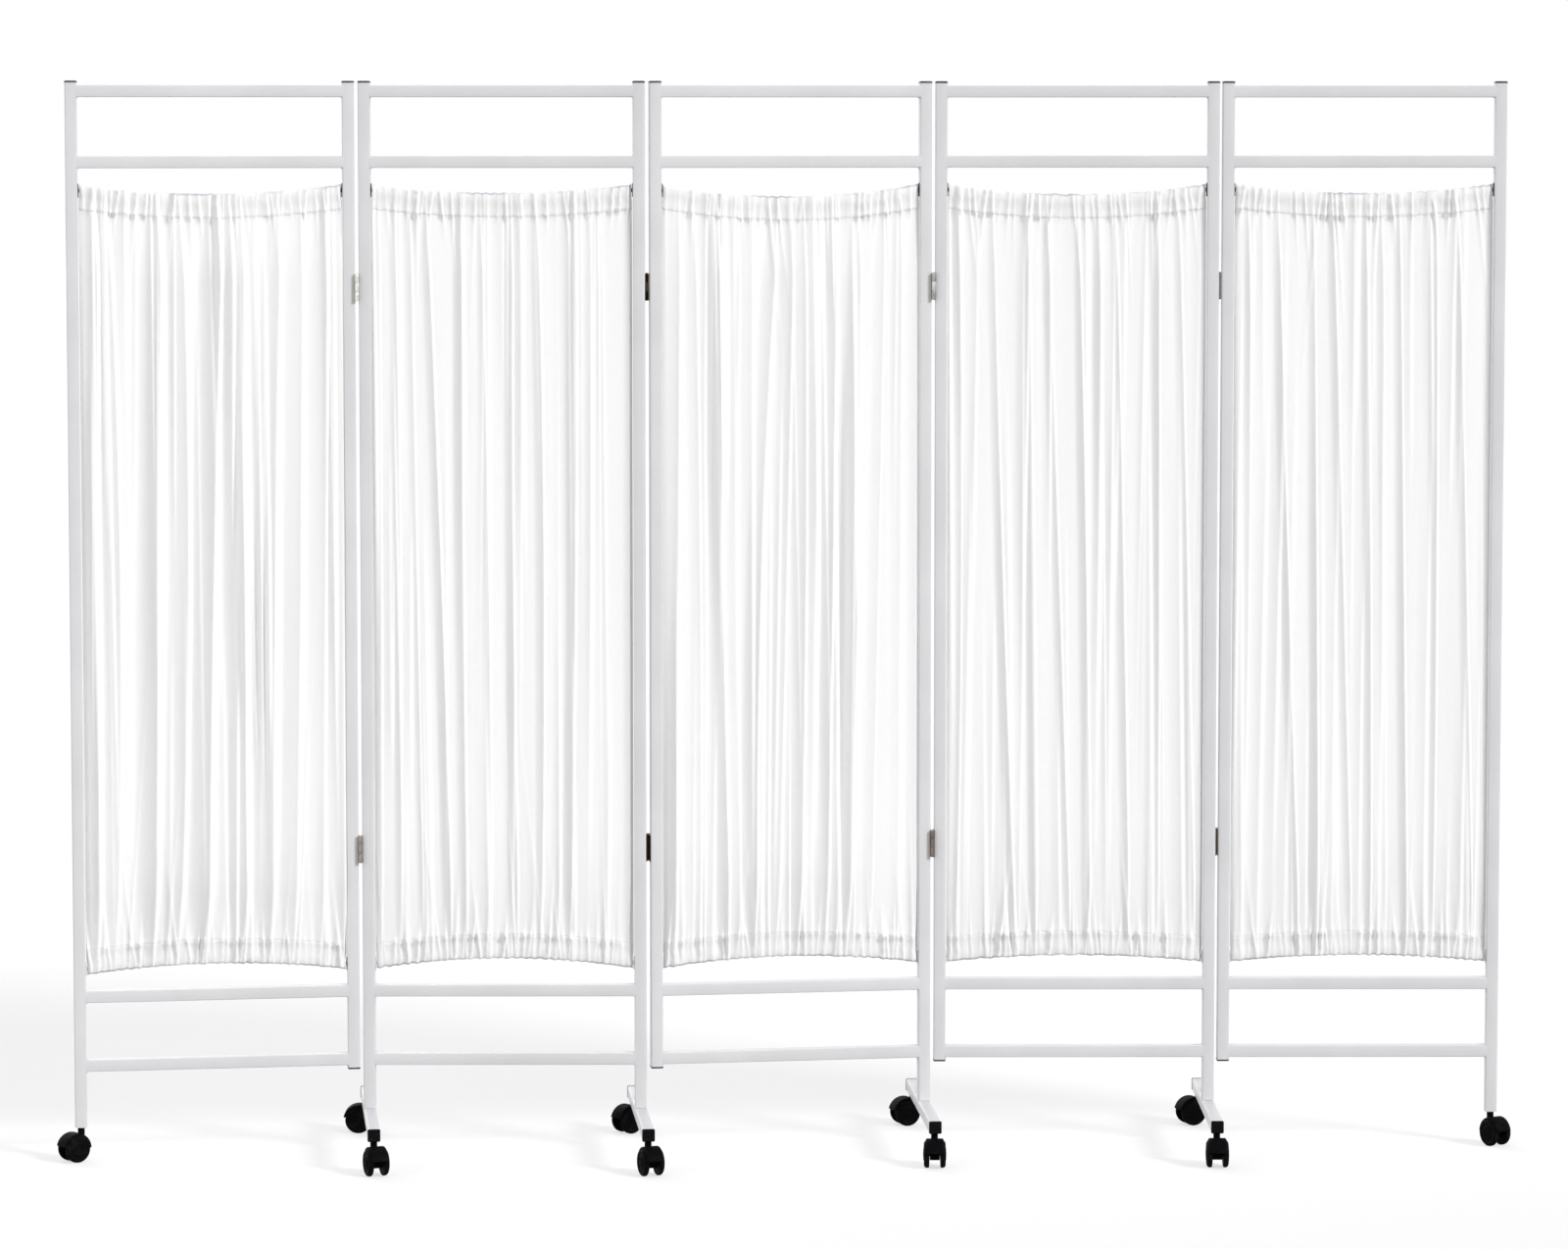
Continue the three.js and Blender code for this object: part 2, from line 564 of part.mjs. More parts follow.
function buildPanel(index) {
  const panel = new THREE.Group();
  const turn = radians(PANEL_TURNS_DEG[index]);
  panel.rotation.z = turn;
  const last = PANEL_TURNS_DEG.length - 1;
  const number = index + 1;
  const feet = FEET.map((foot, i) => ({ ...foot, number: i + 1 })).filter((f) => f.panel === index);
  const endOf = (right) => (feet.some((f) => f.right === right) ? "foot" : "short");
  const leftEnd = index === 0 ? "caster" : endOf(false);
  const rightEnd = index === last ? "caster" : endOf(true);
  panel.add(piece(`panel_frame_${number}`, panelFrame(leftEnd, rightEnd), "frame"));
  panel.add(piece(`curtain_${number}`, curtain(TOP_SAGS[index], BOTTOM_LIFTS[index], number), "curtain"));
  panel.add(piece(`curtain_wire_top_${number}`, curtainWire(TOP_WIRE_END, -TOP_SAGS[index]), "wire"));
  const lower = curtainWire(BOTTOM_WIRE_END, BOTTOM_LIFTS[index]);
  panel.add(piece(`curtain_wire_bottom_${number}`, lower, "wire"));
  if (index < last) {
    addLeaves(panel, index, PANEL_WIDTH + POST_GAP / 2, -1, true);
  }
  if (index > 0) {
    addLeaves(panel, index - 1, -POST_GAP / 2, 1, false);
  }
  for (const { number: footNumber, right, turnDeg } of feet) {
    const group = new THREE.Group();
    group.position.x = right ? PANEL_WIDTH - HALF_TUBE : HALF_TUBE;
    group.rotation.z = radians(turnDeg);
    group.add(piece(`foot_${footNumber}`, foot(), "foot"));
    const stemAt = FOOT_LENGTH / 2 - CASTER_INSET;
    const turned = turn + radians(turnDeg);
    const trails = [FRONT_TRAILS_DEG[footNumber - 1], BACK_TRAILS_DEG[footNumber - 1]];
    group.add(caster(`foot_${footNumber}_front`, 0, -stemAt, trails[0], turned));
    group.add(caster(`foot_${footNumber}_back`, 0, stemAt, trails[1], turned));
    panel.add(group);
  }
  if (leftEnd === "caster") {
    panel.add(caster("left_end", HALF_TUBE, 0, LEFT_END_TRAIL_DEG, turn));
  }
  if (rightEnd === "caster") {
    panel.add(caster("right_end", PANEL_WIDTH - HALF_TUBE, 0, RIGHT_END_TRAIL_DEG, turn));
  }
  return panel;
}

// Joins the panels at their hinge axes, from left to right.
function buildScreen() {
  const screen = new THREE.Group();
  const up = new THREE.Vector3(0, 0, 1);
  let axis = null;
  PANEL_TURNS_DEG.forEach((turnDeg, index) => {
    const panel = buildPanel(index);
    const axisIn = (line, x) => {
      const inward = HINGE_ON_FRONT[line] ? 1 : -1;
      const local = new THREE.Vector3(x, -inward * (HALF_TUBE + AXIS_FROM_POST), 0);
      return local.applyAxisAngle(up, radians(turnDeg));
    };
    if (axis) {
      panel.position.copy(axis).sub(axisIn(index - 1, -POST_GAP / 2));
    }
    if (index < HINGE_ON_FRONT.length) {
      axis = axisIn(index, PANEL_WIDTH + POST_GAP / 2).add(panel.position);
    }
    screen.add(panel);
  });
  const box = new THREE.Box3().setFromObject(screen, true);
  const middle = box.getCenter(new THREE.Vector3());
  screen.children.forEach((panel) => panel.position.sub(new THREE.Vector3(middle.x, middle.y, 0)));
  return screen;
}

export default buildScreen();
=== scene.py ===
# A five-panel ward privacy screen on castors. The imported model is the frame; the classes below
# model each sub-assembly over it and dress it. Sizes are in metres, in the frame's own axes.

import json
import logging
import math
from collections.abc import Callable
from dataclasses import dataclass
from enum import Enum

import bpy
import numpy as np
from mathutils import Matrix, Vector


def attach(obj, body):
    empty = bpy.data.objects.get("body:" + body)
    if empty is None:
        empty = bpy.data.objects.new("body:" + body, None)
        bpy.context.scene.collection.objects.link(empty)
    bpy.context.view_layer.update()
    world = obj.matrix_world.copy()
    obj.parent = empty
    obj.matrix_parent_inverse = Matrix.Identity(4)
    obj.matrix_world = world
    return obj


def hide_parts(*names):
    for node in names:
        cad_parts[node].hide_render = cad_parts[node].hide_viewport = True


LOG = logging.getLogger("ward_screen")

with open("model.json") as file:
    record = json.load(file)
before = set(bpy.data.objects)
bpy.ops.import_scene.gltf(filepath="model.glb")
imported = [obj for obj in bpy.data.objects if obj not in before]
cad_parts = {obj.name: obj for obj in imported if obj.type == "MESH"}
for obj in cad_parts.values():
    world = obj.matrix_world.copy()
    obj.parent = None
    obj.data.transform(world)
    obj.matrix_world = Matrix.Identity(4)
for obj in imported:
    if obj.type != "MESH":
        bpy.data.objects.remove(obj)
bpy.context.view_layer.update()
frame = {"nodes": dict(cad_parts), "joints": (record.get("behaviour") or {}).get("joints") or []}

MM = 0.001
TINY = 0.001 * MM  # nearer than this is the same place
SHORT_EDGE = 1 * MM
WHITE = (1, 1, 1, 1)
ROWS = ("top", "bottom")  # of a panel's wires
Piece = bpy.types.Object
Socket = bpy.types.NodeSocket


# ---------------------------------------------------------------- working with meshes


def mode(name: str) -> None:
    """Switches to "OBJECT" or "EDIT" mode."""
    bpy.ops.object.mode_set(mode=name)


def take(obj: Piece) -> Piece:
    """Selects one object alone and makes it the active one.

    Args:
        obj: the object.

    Returns:
        The object.
    """
    bpy.ops.object.select_all(action="DESELECT")
    obj.select_set(True)
    bpy.context.view_layer.objects.active = obj
    return obj


def shift(x: float, y: float, z: float) -> Matrix:
    """The matrix that moves a piece by that much."""
    return Matrix.Translation((x, y, z))


def named(obj: Piece, name: str) -> Piece:
    """Names an object and its mesh, and returns it."""
    obj.name = obj.data.name = name
    return obj


def settled() -> Piece:
    """The object just added, with its place put into its mesh."""
    bpy.ops.object.transform_apply(location=True, rotation=True, scale=True)
    return bpy.context.object


def select_parts(obj: Piece, kind: str, test: Callable) -> None:
    """Enters edit mode with some edges or faces selected.

    Args:
        obj: the mesh object.
        kind: "EDGE" or "FACE".
        test: takes the part's corner points and says whether it is wanted.
    """
    take(obj)
    mode("EDIT")
    bpy.ops.mesh.select_mode(type=kind)
    bpy.ops.mesh.select_all(action="DESELECT")
    mode("OBJECT")
    mesh = obj.data
    for part in mesh.edges if kind == "EDGE" else mesh.polygons:
        part.select = bool(test([mesh.vertices[i].co for i in part.vertices]))
    mode("EDIT")


def round_along(obj: Piece, axis: int, radius: float, segments: int) -> Piece:
    """Rounds a block's four edges that run along an axis.

    Args:
        obj: the block, which is at least SHORT_EDGE long that way.
        axis: 0 to 2.
        radius: of the rounding.
        segments: across it.

    Returns:
        The piece.
    """
    select_parts(obj, "EDGE", lambda p: abs((p[0] - p[1])[axis]) > SHORT_EDGE)
    bpy.ops.mesh.bevel(offset=radius, segments=segments, affect="EDGES")
    mode("OBJECT")
    return obj


def block(low: tuple, high: tuple) -> Piece:
    """A block between two corners, as the start of a piece.

    Args:
        low: its lowest corner.
        high: its highest corner.

    Returns:
        The new mesh object.
    """
    size = [h - l for l, h in zip(low, high)]
    centre = [(l + h) / 2 for l, h in zip(low, high)]
    bpy.ops.mesh.primitive_cube_add(size=1, location=centre, scale=size)
    return settled()


def bar(low: tuple, high: tuple, along: int, radius: float) -> Piece:
    """A bar of drawn tube between two corners, with its four edges along that axis rounded."""
    return round_along(block(low, high), along, radius, 4)


def lid(axis: int, side: float, height: float, taper: float, corner: float, over: float,
        *steps: tuple) -> Piece:
    """A moulded lid: a square flange with a tapering rim and steps in its face.

    Args:
        axis: the axis that its face looks along, with its seat at the origin.
        side: half its width.
        height: of the flange.
        taper: the face's size, as a share of the seat's.
        corner: radius of the upright corners.
        over: the angle in degrees over which its edges are rounded.
        steps: how far each step is set in and raised.

    Returns:
        The new mesh object.
    """
    low, high = [-side] * 3, [side] * 3
    low[axis], high[axis] = 0, height
    obj = block(low, high)
    select_parts(obj, "FACE", lambda p: all(v[axis] > height - TINY for v in p))
    bpy.ops.transform.resize(value=[1 if i == axis else taper for i in range(3)])
    for inset, rise in steps:
        bpy.ops.mesh.inset(thickness=inset, depth=rise)
    mode("OBJECT")
    return smooth(soften(round_along(obj, axis, corner, 4), 0.5 * MM, 3, over), 40)


def rod(start: tuple, end: tuple, radius: float, sides: int) -> Piece:
    """A round rod between two points.

    Args:
        start: middle of one end.
        end: middle of the other end.
        radius: of the rod.
        sides: facets round it.

    Returns:
        The new mesh object.
    """
    a, b = Vector(start), Vector(end)
    turn = (b - a).to_track_quat("Z", "Y").to_euler()
    bpy.ops.mesh.primitive_cylinder_add(
        vertices=sides, radius=radius, depth=(b - a).length, location=(a + b) / 2, rotation=turn)
    return settled()


def close_up(obj: Piece) -> Piece:
    """Merges a mesh's doubles, fills its open ends and points its faces outwards.

    Args:
        obj: the piece.

    Returns:
        The piece.
    """
    take(obj)
    mode("EDIT")
    bpy.ops.mesh.select_mode(type="VERT")
    bpy.ops.mesh.select_all(action="SELECT")
    bpy.ops.mesh.remove_doubles(threshold=TINY)
    bpy.ops.mesh.select_all(action="DESELECT")
    bpy.ops.mesh.select_non_manifold()
    bpy.ops.mesh.fill_holes(sides=0)
    bpy.ops.mesh.select_all(action="SELECT")
    bpy.ops.mesh.normals_make_consistent(inside=False)
    mode("OBJECT")
    return obj


def quarter(count: int) -> list:
    """The cosine and the sine of that many angles, evenly from 0 to 90 degrees."""
    return [(math.cos(a), math.sin(a)) for a in np.linspace(0, math.pi / 2, count)]


def ring(points: list, fill: str) -> Piece:
    """A closed outline.

    Args:
        points: its corner points.
        fill: "NOTHING", or "NGON" for one face inside.

    Returns:
        The new mesh object.
    """
    bpy.ops.mesh.primitive_circle_add(vertices=len(points), radius=1, fill_type=fill)
    obj = bpy.context.object
    for vertex, point in zip(obj.data.vertices, points):
        vertex.co = point
    return obj


def turned(profile: list, axis: tuple, steps: int, angle: float = math.tau) -> Piece:
    """A piece turned from a closed profile, spun about an axis through the origin.

    Args:
        profile: the profile's corner points.
        axis: the axis that it is spun about.
        steps: how many steps that takes.
        angle: how far it is spun, in radians.

    Returns:
        The new, closed mesh object.
    """
    obj = ring(profile, "NOTHING")
    select_parts(obj, "EDGE", lambda p: all(v.cross(Vector(axis)).length < 0.1 * TINY for v in p))
    bpy.ops.mesh.delete(type="EDGE_FACE")
    bpy.ops.mesh.select_all(action="SELECT")
    bpy.ops.mesh.spin(steps=steps, angle=angle, center=(0, 0, 0), axis=axis)
    mode("OBJECT")
    return close_up(obj)


def plate(outline: list, thickness: float) -> Piece:
    """A flat plate, cut to an outline in Y and Z and raised along +X.

    Args:
        outline: the corner points (y, z), in order.
        thickness: along X.

    Returns:
        The new, closed mesh object.
    """
    obj = take(ring([(0, y, z) for y, z in outline], "NGON"))
    mode("EDIT")
    bpy.ops.mesh.select_all(action="SELECT")
    bpy.ops.mesh.extrude_region_move(TRANSFORM_OT_translate={"value": (thickness, 0, 0)})
    bpy.ops.mesh.select_all(action="SELECT")
    bpy.ops.mesh.normals_make_consistent(inside=False)
    mode("OBJECT")
    return obj


def modify(obj: Piece, kind: str, **values: object) -> Piece:
    """Makes the shape that a modifier gives a piece the piece's own.

    Args:
        obj: the piece.
        kind: the modifier's type.
        values: its settings.

    Returns:
        The piece.
    """
    modifier = obj.modifiers.new(kind, kind)
    for key, value in values.items():
        setattr(modifier, key, value)
    take(obj)
    bpy.ops.object.modifier_apply(modifier=modifier.name)
    return obj


def combine(target: Piece, tool: Piece, how: str = "UNION") -> Piece:
    """Joins a tool to a piece, or cuts the piece with it, and uses the tool up.

    Args:
        target: the piece.
        tool: the other solid.
        how: "UNION" or "DIFFERENCE".

    Returns:
        The piece.
    """
    modify(target, "BOOLEAN", operation=how, solver="EXACT", object=tool)
    bpy.data.objects.remove(tool)
    return target


def joined(*pieces: Piece) -> Piece:
    """Several meshes as one object.

    Args:
        pieces: the objects to join, of which the first is kept.

    Returns:
        The joined object.
    """
    take(pieces[0])
    for piece in pieces[1:]:
        piece.select_set(True)
    bpy.ops.object.join()
    return pieces[0]


def soften(obj: Piece, width: float, segments: int = 2, over: float = 40) -> Piece:
    """Rounds a piece's edges over an angle in degrees, to a width and in so many segments."""
    return modify(obj, "BEVEL", width=width, segments=segments, limit_method="ANGLE",
                  angle_limit=math.radians(over))


def smooth(obj: Piece, angle: float) -> Piece:
    """Shades a piece smooth, apart from its sharp edges.

    Args:
        obj: the piece.
        angle: in degrees, over which an edge is sharp.

    Returns:
        The piece.
    """
    take(obj)
    bpy.ops.object.shade_smooth_by_angle(angle=math.radians(angle))
    return obj


def copy_to(obj: Piece, name: str, place: Matrix) -> Piece:
    """A copy of a piece with its own mesh, put in its place.

    Args:
        obj: the piece as modelled.
        name: the copy's name.
        place: where it goes; a mirroring place is allowed.

    Returns:
        The copy, at the origin, with its place in its mesh.
    """
    copy = obj.copy()
    copy.data = obj.data.copy()
    bpy.context.scene.collection.objects.link(copy)
    copy.data.transform(place)
    if place.determinant() < 0:
        copy.data.flip_normals()
    return named(copy, name)


def discard(*pieces: Piece) -> None:
    """Removes the masters that copies were made from."""
    for piece in pieces:
        bpy.data.objects.remove(piece)


def mesh_from(name: str, points: np.ndarray, quads: np.ndarray) -> Piece:
    """A mesh object from points and four-sided faces.

    Args:
        name: the object's name.
        points: an array with x, y, z in its last axis.
        quads: an array with a face's four point numbers in its last axis.

    Returns:
        The new mesh object.
    """
    mesh = bpy.data.meshes.new(name)
    mesh.from_pydata(points.reshape(-1, 3).tolist(), [], quads.reshape(-1, 4).tolist())
    mesh.update()
    obj = bpy.data.objects.new(name, mesh)
    bpy.context.scene.collection.objects.link(obj)
    return obj


# ---------------------------------------------------------------- finishes


class Graph:
    """Adds shader nodes to a node tree."""

    def __init__(self, tree: bpy.types.NodeTree) -> None:
        """Takes the tree that the nodes go into."""
        self.tree = tree

    def feed(self, socket: Socket, value: object) -> None:
        """Gives an input socket its value.

        Args:
            socket: the input socket.
            value: an output socket, which is linked to it, or a plain value.
        """
        if isinstance(value, Socket):
            self.tree.links.new(value, socket)
        else:
            socket.default_value = value

    def add(self, kind: str, *inputs: object, **values: object) -> bpy.types.Node:
        """A new node.

        Args:
            kind: the node's type, without "ShaderNode".
            inputs: what its first input sockets are fed.
            values: its properties, and its input sockets by name with _ for a space.

        Returns:
            The node.
        """
        node = self.tree.nodes.new("ShaderNode" + kind)
        for socket, value in zip(node.inputs, inputs):
            self.feed(socket, value)
        for key, value in values.items():
            socket = node.inputs.get(key.replace("_", " "))
            if socket is None:
                setattr(node, key, value)
            else:
                self.feed(socket, value)
        return node

    def out(self, kind: str, *inputs: object, **values: object) -> Socket:
        """The first output of a new node, which takes what add takes."""
        return self.add(kind, *inputs, **values).outputs[0]


@dataclass(frozen=True)
class Pattern:
    """Noise over a piece.

    Its first two values are features per metre and octaves of finer features. The other two are
    where in its range a colour changes, or for relief its strength and its depth in metres.
    """

    scale: float
    detail: float
    low: float = 0.3
    high: float = 0.7


class Nodes(Graph):
    """Builds one material out of shader nodes."""

    def __init__(self, name: str) -> None:
        """Starts a material of that name with its shader.

        Args:
            name: the material's name.
        """
        self.material = bpy.data.materials.new(name)
        self.material.use_nodes = True
        super().__init__(self.material.node_tree)
        self.shader = self.tree.nodes["Principled BSDF"]
        self.at = self.add("TexCoord")

    def set(self, **values: object) -> None:
        """Feeds inputs of the shader; _ stands for a space in their names."""
        for key, value in values.items():
            self.feed(self.shader.inputs[key.replace("_", " ")], value)

    def noise(self, pattern: Pattern, space: str = "Object", stretch: tuple = (1, 1, 1)) -> Socket:
        """Noise over the piece.

        Args:
            pattern: its pattern.
            space: "Object", or "UV" for a pattern that follows the cloth.
            stretch: how close together its features are along each axis.

        Returns:
            The noise value.
        """
        at = self.at.outputs[space]
        if stretch != (1, 1, 1):
            at = self.out("Mapping", Vector=at, Scale=stretch)
        return self.out("TexNoise", Vector=at, Scale=pattern.scale, Detail=pattern.detail)

    def ramp(self, value: Socket, low: float, high: float, first: tuple, last: tuple) -> Socket:
        """A colour or grey that changes with a value.

        Args:
            value: the value.
            low: where the change starts.
            high: where it ends.
            first: the colour up to there.
            last: the colour from there.

        Returns:
            The colour.
        """
        ramp = self.add("ValToRGB", Fac=value)
        start, end = ramp.color_ramp.elements
        start.position, end.position = low, high
        start.color, end.color = (*first, 1), (*last, 1)
        return ramp.outputs["Color"]

    def patches(self, pattern: Pattern, first: tuple, last: tuple, *space: object) -> Socket:
        """A colour in patches; space is what noise takes besides its pattern, here and below."""
        return self.ramp(self.noise(pattern, *space), pattern.low, pattern.high, first, last)

    def uneven(self, pattern: Pattern, value: float, less: float, more: float) -> Socket:
        """A grey round a value, from less below it to more above it."""
        return self.patches(pattern, (value - less,) * 3, (value + more,) * 3)

    def times(self, *colours: Socket) -> Socket:
        """Colours multiplied.

        Args:
            colours: two or more of them.

        Returns:
            The product.
        """
        product = colours[0]
        for colour in colours[1:]:
            product = self.out("VectorMath", product, colour, operation="MULTIPLY")
        return product

    def bump(self, height: Socket, strength: float, depth: float, under: Socket = None) -> Socket:
        """Relief from a height.

        Args:
            height: the height value, 0 to 1.
            strength: of the relief.
            depth: the height of 1, in metres.
            under: relief that this one lies on.

        Returns:
            The normal.
        """
        node = self.add("Bump", Height=height, Strength=strength, Distance=depth)
        if under is not None:
            self.feed(node.inputs["Normal"], under)
        return node.outputs["Normal"]

    def relief(self, pattern: Pattern, under: Socket = None, *space: object) -> Socket:
        """Relief from noise, on what is under it."""
        return self.bump(self.noise(pattern, *space), pattern.low, pattern.high, under)


def shades(colour: tuple, *shares: float) -> list:
    """Darker and lighter shades of a colour, each as a share of it."""
    return [tuple(c * share for c in colour) for share in shares]


@dataclass(frozen=True)
class Moulding:
    """Moulded plastic, or another hard surface: patches, uneven roughness and fine relief."""

    name: str
    colour: tuple
    patch: tuple  # the colour of its scuffs or its patches
    roughness: float = 0.45
    gloss: float = 0.5
    reliefs: tuple = (Pattern(1500, 2, 0.25, 0.08 * MM),)
    patches: Pattern = Pattern(85, 6, 0.5, 0.82)
    wear: Pattern = Pattern(240, 4, 0.3, 0.8)
    spread: tuple = (0.08, 0.14)  # how far the roughness goes below and above its middle
    metal: float = 0
    drawn: tuple = (1, 1, 1)  # how its relief is drawn out along each axis

    def make(self) -> bpy.types.Material:
        """Builds the material.

        Returns:
            The material.
        """
        n, normal = Nodes(self.name), None
        for relief in self.reliefs:
            normal = n.relief(relief, normal, "Object", self.drawn)
        n.set(Base_Color=n.patches(self.patches, self.colour, self.patch), Normal=normal,
              Roughness=n.uneven(self.wear, self.roughness, *self.spread),
              Specular_IOR_Level=self.gloss, Metallic=self.metal)
        return n.material


@dataclass(frozen=True)
class Paint(Moulding):
    """Powder coat on steel tube: a fine orange peel, uneven gloss and faint handling marks."""

    roughness: float = 0.38
    gloss: float = 0.45
    reliefs: tuple = (Pattern(620, 2, 0.22, 0.12 * MM), Pattern(70, 3, 0.1, 0.3 * MM))
    patches: Pattern = Pattern(9, 4, 0.35, 0.68)
    wear: Pattern = Pattern(34, 5, 0.3, 0.75)
    spread: tuple = (0.06, 0.09)


@dataclass(frozen=True)
class Plated(Moulding):
    """Plated or brassed steel: drawn lines, duller patches and a little tarnish in them."""

    reliefs: tuple = (Pattern(2600, 2, 0.3, 0.05 * MM),)
    patches: Pattern = Pattern(130, 6, 0.42, 0.74)
    wear: Pattern = Pattern(300, 3)
    spread: tuple = (0.08, 0.12)
    metal: float = 1
    drawn: tuple = (1, 1, 0.04)


@dataclass(frozen=True)
class Cloth:
    """Plain-woven cloth, whose threads follow the piece's own UV map in metres."""

    name: str
    colour: tuple
    hem_shade_tone: tuple  # painted shade on the hem, for the light that comes through one layer but less through two
    line: tuple  # and the painted shadow line along the fold
    seam: float  # and the painted shade in the seam's groove
    low_shade: float  # and the painted shade that darkens the cloth towards the bottom
    hem: float
    thread: float = 0.7 * MM  # from one thread to the next
    slubs: Pattern = Pattern(900, 3)
    fold_shadow_patches: Pattern = Pattern(6, 3, 0.42, 0.6)  # where the painted shadow line along the fold shows
    weave: tuple = (0.35, 0.14 * MM)
    waves: Pattern = Pattern(45, 4, 0.12, 1.2 * MM)

    def make(self) -> bpy.types.Material:
        """Builds the material.

        Returns:
            The material.
        """
        n = Nodes(self.name)
        uv, white = n.at.outputs["UV"], (1, 1, 1)
        pitch = math.pi / 10 / self.thread  # a wave texture of scale 1 has 10 bands in pi metres
        warp, weft = (n.add("TexWave", Vector=uv, Scale=pitch, bands_direction=way, Distortion=0.6,
                            Detail_Scale=3.0).outputs["Fac"] for way in "XY")
        colour = n.patches(self.slubs, *shades(self.colour, 0.98, 1.02), "UV", (1, 0.05, 1))
        # Painted shade: the hem is darker, for the light that comes through one layer but less
        # through two, and a painted shadow darkens a thin line along the fold
        edge = n.add("Attribute", attribute_name="from_edge").outputs["Fac"]
        hem_shade = n.ramp(edge, self.hem - 0.6 * MM, self.hem + 0.6 * MM, self.hem_shade_tone, white)
        # Painted shadow: a dark line along the fold, shown in patches
        line = n.ramp(edge, 0.8 * MM, 3.2 * MM, self.line, white)
        patches = n.patches(self.fold_shadow_patches, (0, 0, 0), white, "UV")
        fold_shadow = n.out("MixRGB", Fac=patches, Color1=(*white, 1), Color2=line)
        # Painted shade: the colour is darkened along the seam's groove
        past_seam = n.out("Math", edge, self.hem, operation="SUBTRACT")
        off_seam = n.out("Math", past_seam, operation="ABSOLUTE")
        seam = n.ramp(off_seam, 0.3 * MM, 2.2 * MM, (self.seam,) * 3, white)
        # Painted shade: the cloth is darkened towards its bottom
        along = n.add("SeparateXYZ", n.out("Mapping", Vector=uv, Scale=(1, 0.5, 1))).outputs["Y"]
        low_shade = n.ramp(along, 0.55, 0.67, white, (self.low_shade,) * 3)
        weave = n.bump(n.out("Math", warp, weft, operation="MULTIPLY"), *self.weave)
        n.set(Base_Color=n.times(colour, hem_shade, fold_shadow, seam, low_shade),
              Normal=n.relief(self.waves, weave, "UV"),
              Roughness=0.93, Specular_IOR_Level=0.2, Sheen_Weight=0.12, Sheen_Roughness=0.5)
        return n.material


DEEP, PALE = 0.965, 1.025  # shades in paint
FRAME_PAINT = Paint("frame_powder_coat", *shades((0.652, 0.650, 0.664), DEEP, PALE))
FOOT_PAINT = Paint("foot_powder_coat", *shades((0.60, 0.602, 0.625), DEEP, PALE), 0.33)
# The cloth's hem, fold-line, seam and bottom tones are painted shade
CURTAIN_CLOTH = Cloth("curtain_cloth", (0.915, 0.915, 0.912), (0.945, 0.945, 0.948),
                      (0.42, 0.41, 0.52), 0.95, 0.93, 40 * MM)
THREAD = Moulding("stitching_thread", (0.76, 0.76, 0.76), (0.82, 0.82, 0.815), 0.8, 0.2,
                  (Pattern(2600, 2, 0.25, 0.08 * MM),))
WIRE_SLEEVE = Moulding("curtain_wire_sleeve", (0.72, 0.71, 0.68), (0.78, 0.77, 0.74))
CAP_PLASTIC = Moulding("cap_plastic", (0.030, 0.031, 0.034), (0.075, 0.076, 0.08), 0.5)
PALE_PLASTIC = Moulding("pale_bush_plastic", (0.62, 0.61, 0.62), (0.68, 0.67, 0.67), 0.5)
# The top bushes are dark plastic that also stands in as painted shade in the gap at the curtain's
# top corners; the bottom ones are pale
SHADE_DARK_BUSH_PLASTIC = Moulding("bush_plastic", (0.035, 0.032, 0.045), (0.07, 0.068, 0.08), 0.5, 0.25)
PLUG_PLASTIC = Moulding("plug_plastic", (0.0028, 0.0028, 0.0032), (0.009, 0.009, 0.0095),
                        0.5, 0.05)
CASTER_PLASTIC = Moulding("caster_plastic", (0.0036, 0.0036, 0.0042), (0.009, 0.009, 0.010),
                          0.52, 0.012)
TREAD_PLASTIC = Moulding("tread_plastic", (0.0034, 0.0034, 0.0037), (0.012, 0.0118, 0.0115),
                         0.6, 0.02)


class HingeTone(Enum):
    """How far a hinge's plating has aged: its colour and its tarnish. Its two darkest tones are
    painted shade, for the hinge between panels 2 and 3, which stands behind the gap.
    """

    PALE = Plated("hinge_pale", (0.66, 0.65, 0.61), (0.47, 0.46, 0.42), 0.44)
    SILVER = Plated("hinge_silver", (0.52, 0.515, 0.50), (0.38, 0.37, 0.35), 0.40)
    STEEL = Plated("hinge_steel", (0.34, 0.335, 0.32), (0.20, 0.195, 0.18), 0.36)
    WORN = Plated("hinge_worn", (0.30, 0.265, 0.235), (0.19, 0.165, 0.145), 0.38)
    BRASS = Plated("hinge_brass", (0.31, 0.27, 0.18), (0.19, 0.16, 0.10), 0.34)
    BROWN = Plated("hinge_brown", (0.185, 0.152, 0.128), (0.11, 0.09, 0.078), 0.38)
    # The two tones below are painted shade, darkened copies of the plating for the hinge behind the
    # gap between panels 2 and 3
    BRONZED = Plated("hinge_shaded_bronze", (0.058, 0.040, 0.034), (0.026, 0.019, 0.017), 0.40)
    BLACKENED = Plated("hinge_shaded_black", (0.032, 0.029, 0.019), (0.014, 0.013, 0.010), 0.42)


def dress(piece: Piece, finish: bpy.types.Material, slot: str, body: str, *nodes: str) -> None:
    """Gives a piece its finish and hangs it on a body.

    Args:
        piece: the finished mesh object.
        finish: its material.
        slot: the record's material slot; not used.
        body: the body that it rides on.
        nodes: CAD nodes that it stands for.
    """
    piece.data.materials.clear()
    piece.data.materials.append(finish)
    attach(piece, body)
    if nodes:
        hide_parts(*nodes)
    LOG.info("%s rides on %s", piece.name, body)


# ---------------------------------------------------------------- where things stand


class End(Enum):
    """What a post ends in at the bottom."""

    SHORT = "short"
    FOOT = "foot"
    CASTER = "caster"


@dataclass(frozen=True)
class Panel:
    """One panel's number, turn and post ends, and what its curtain is like."""

    number: int
    turn_deg: float
    left: End
    right: End
    sag: float  # how far the top wire is drawn down in its middle
    lift: float  # how far the bottom wire is drawn up
    fullness: float  # how deep its folds are, beside the others'
    # A fold's place across the cloth at the top, the middle and the bottom, in thousandths of
    # its width, then its depth there, in tenths
    folds: tuple


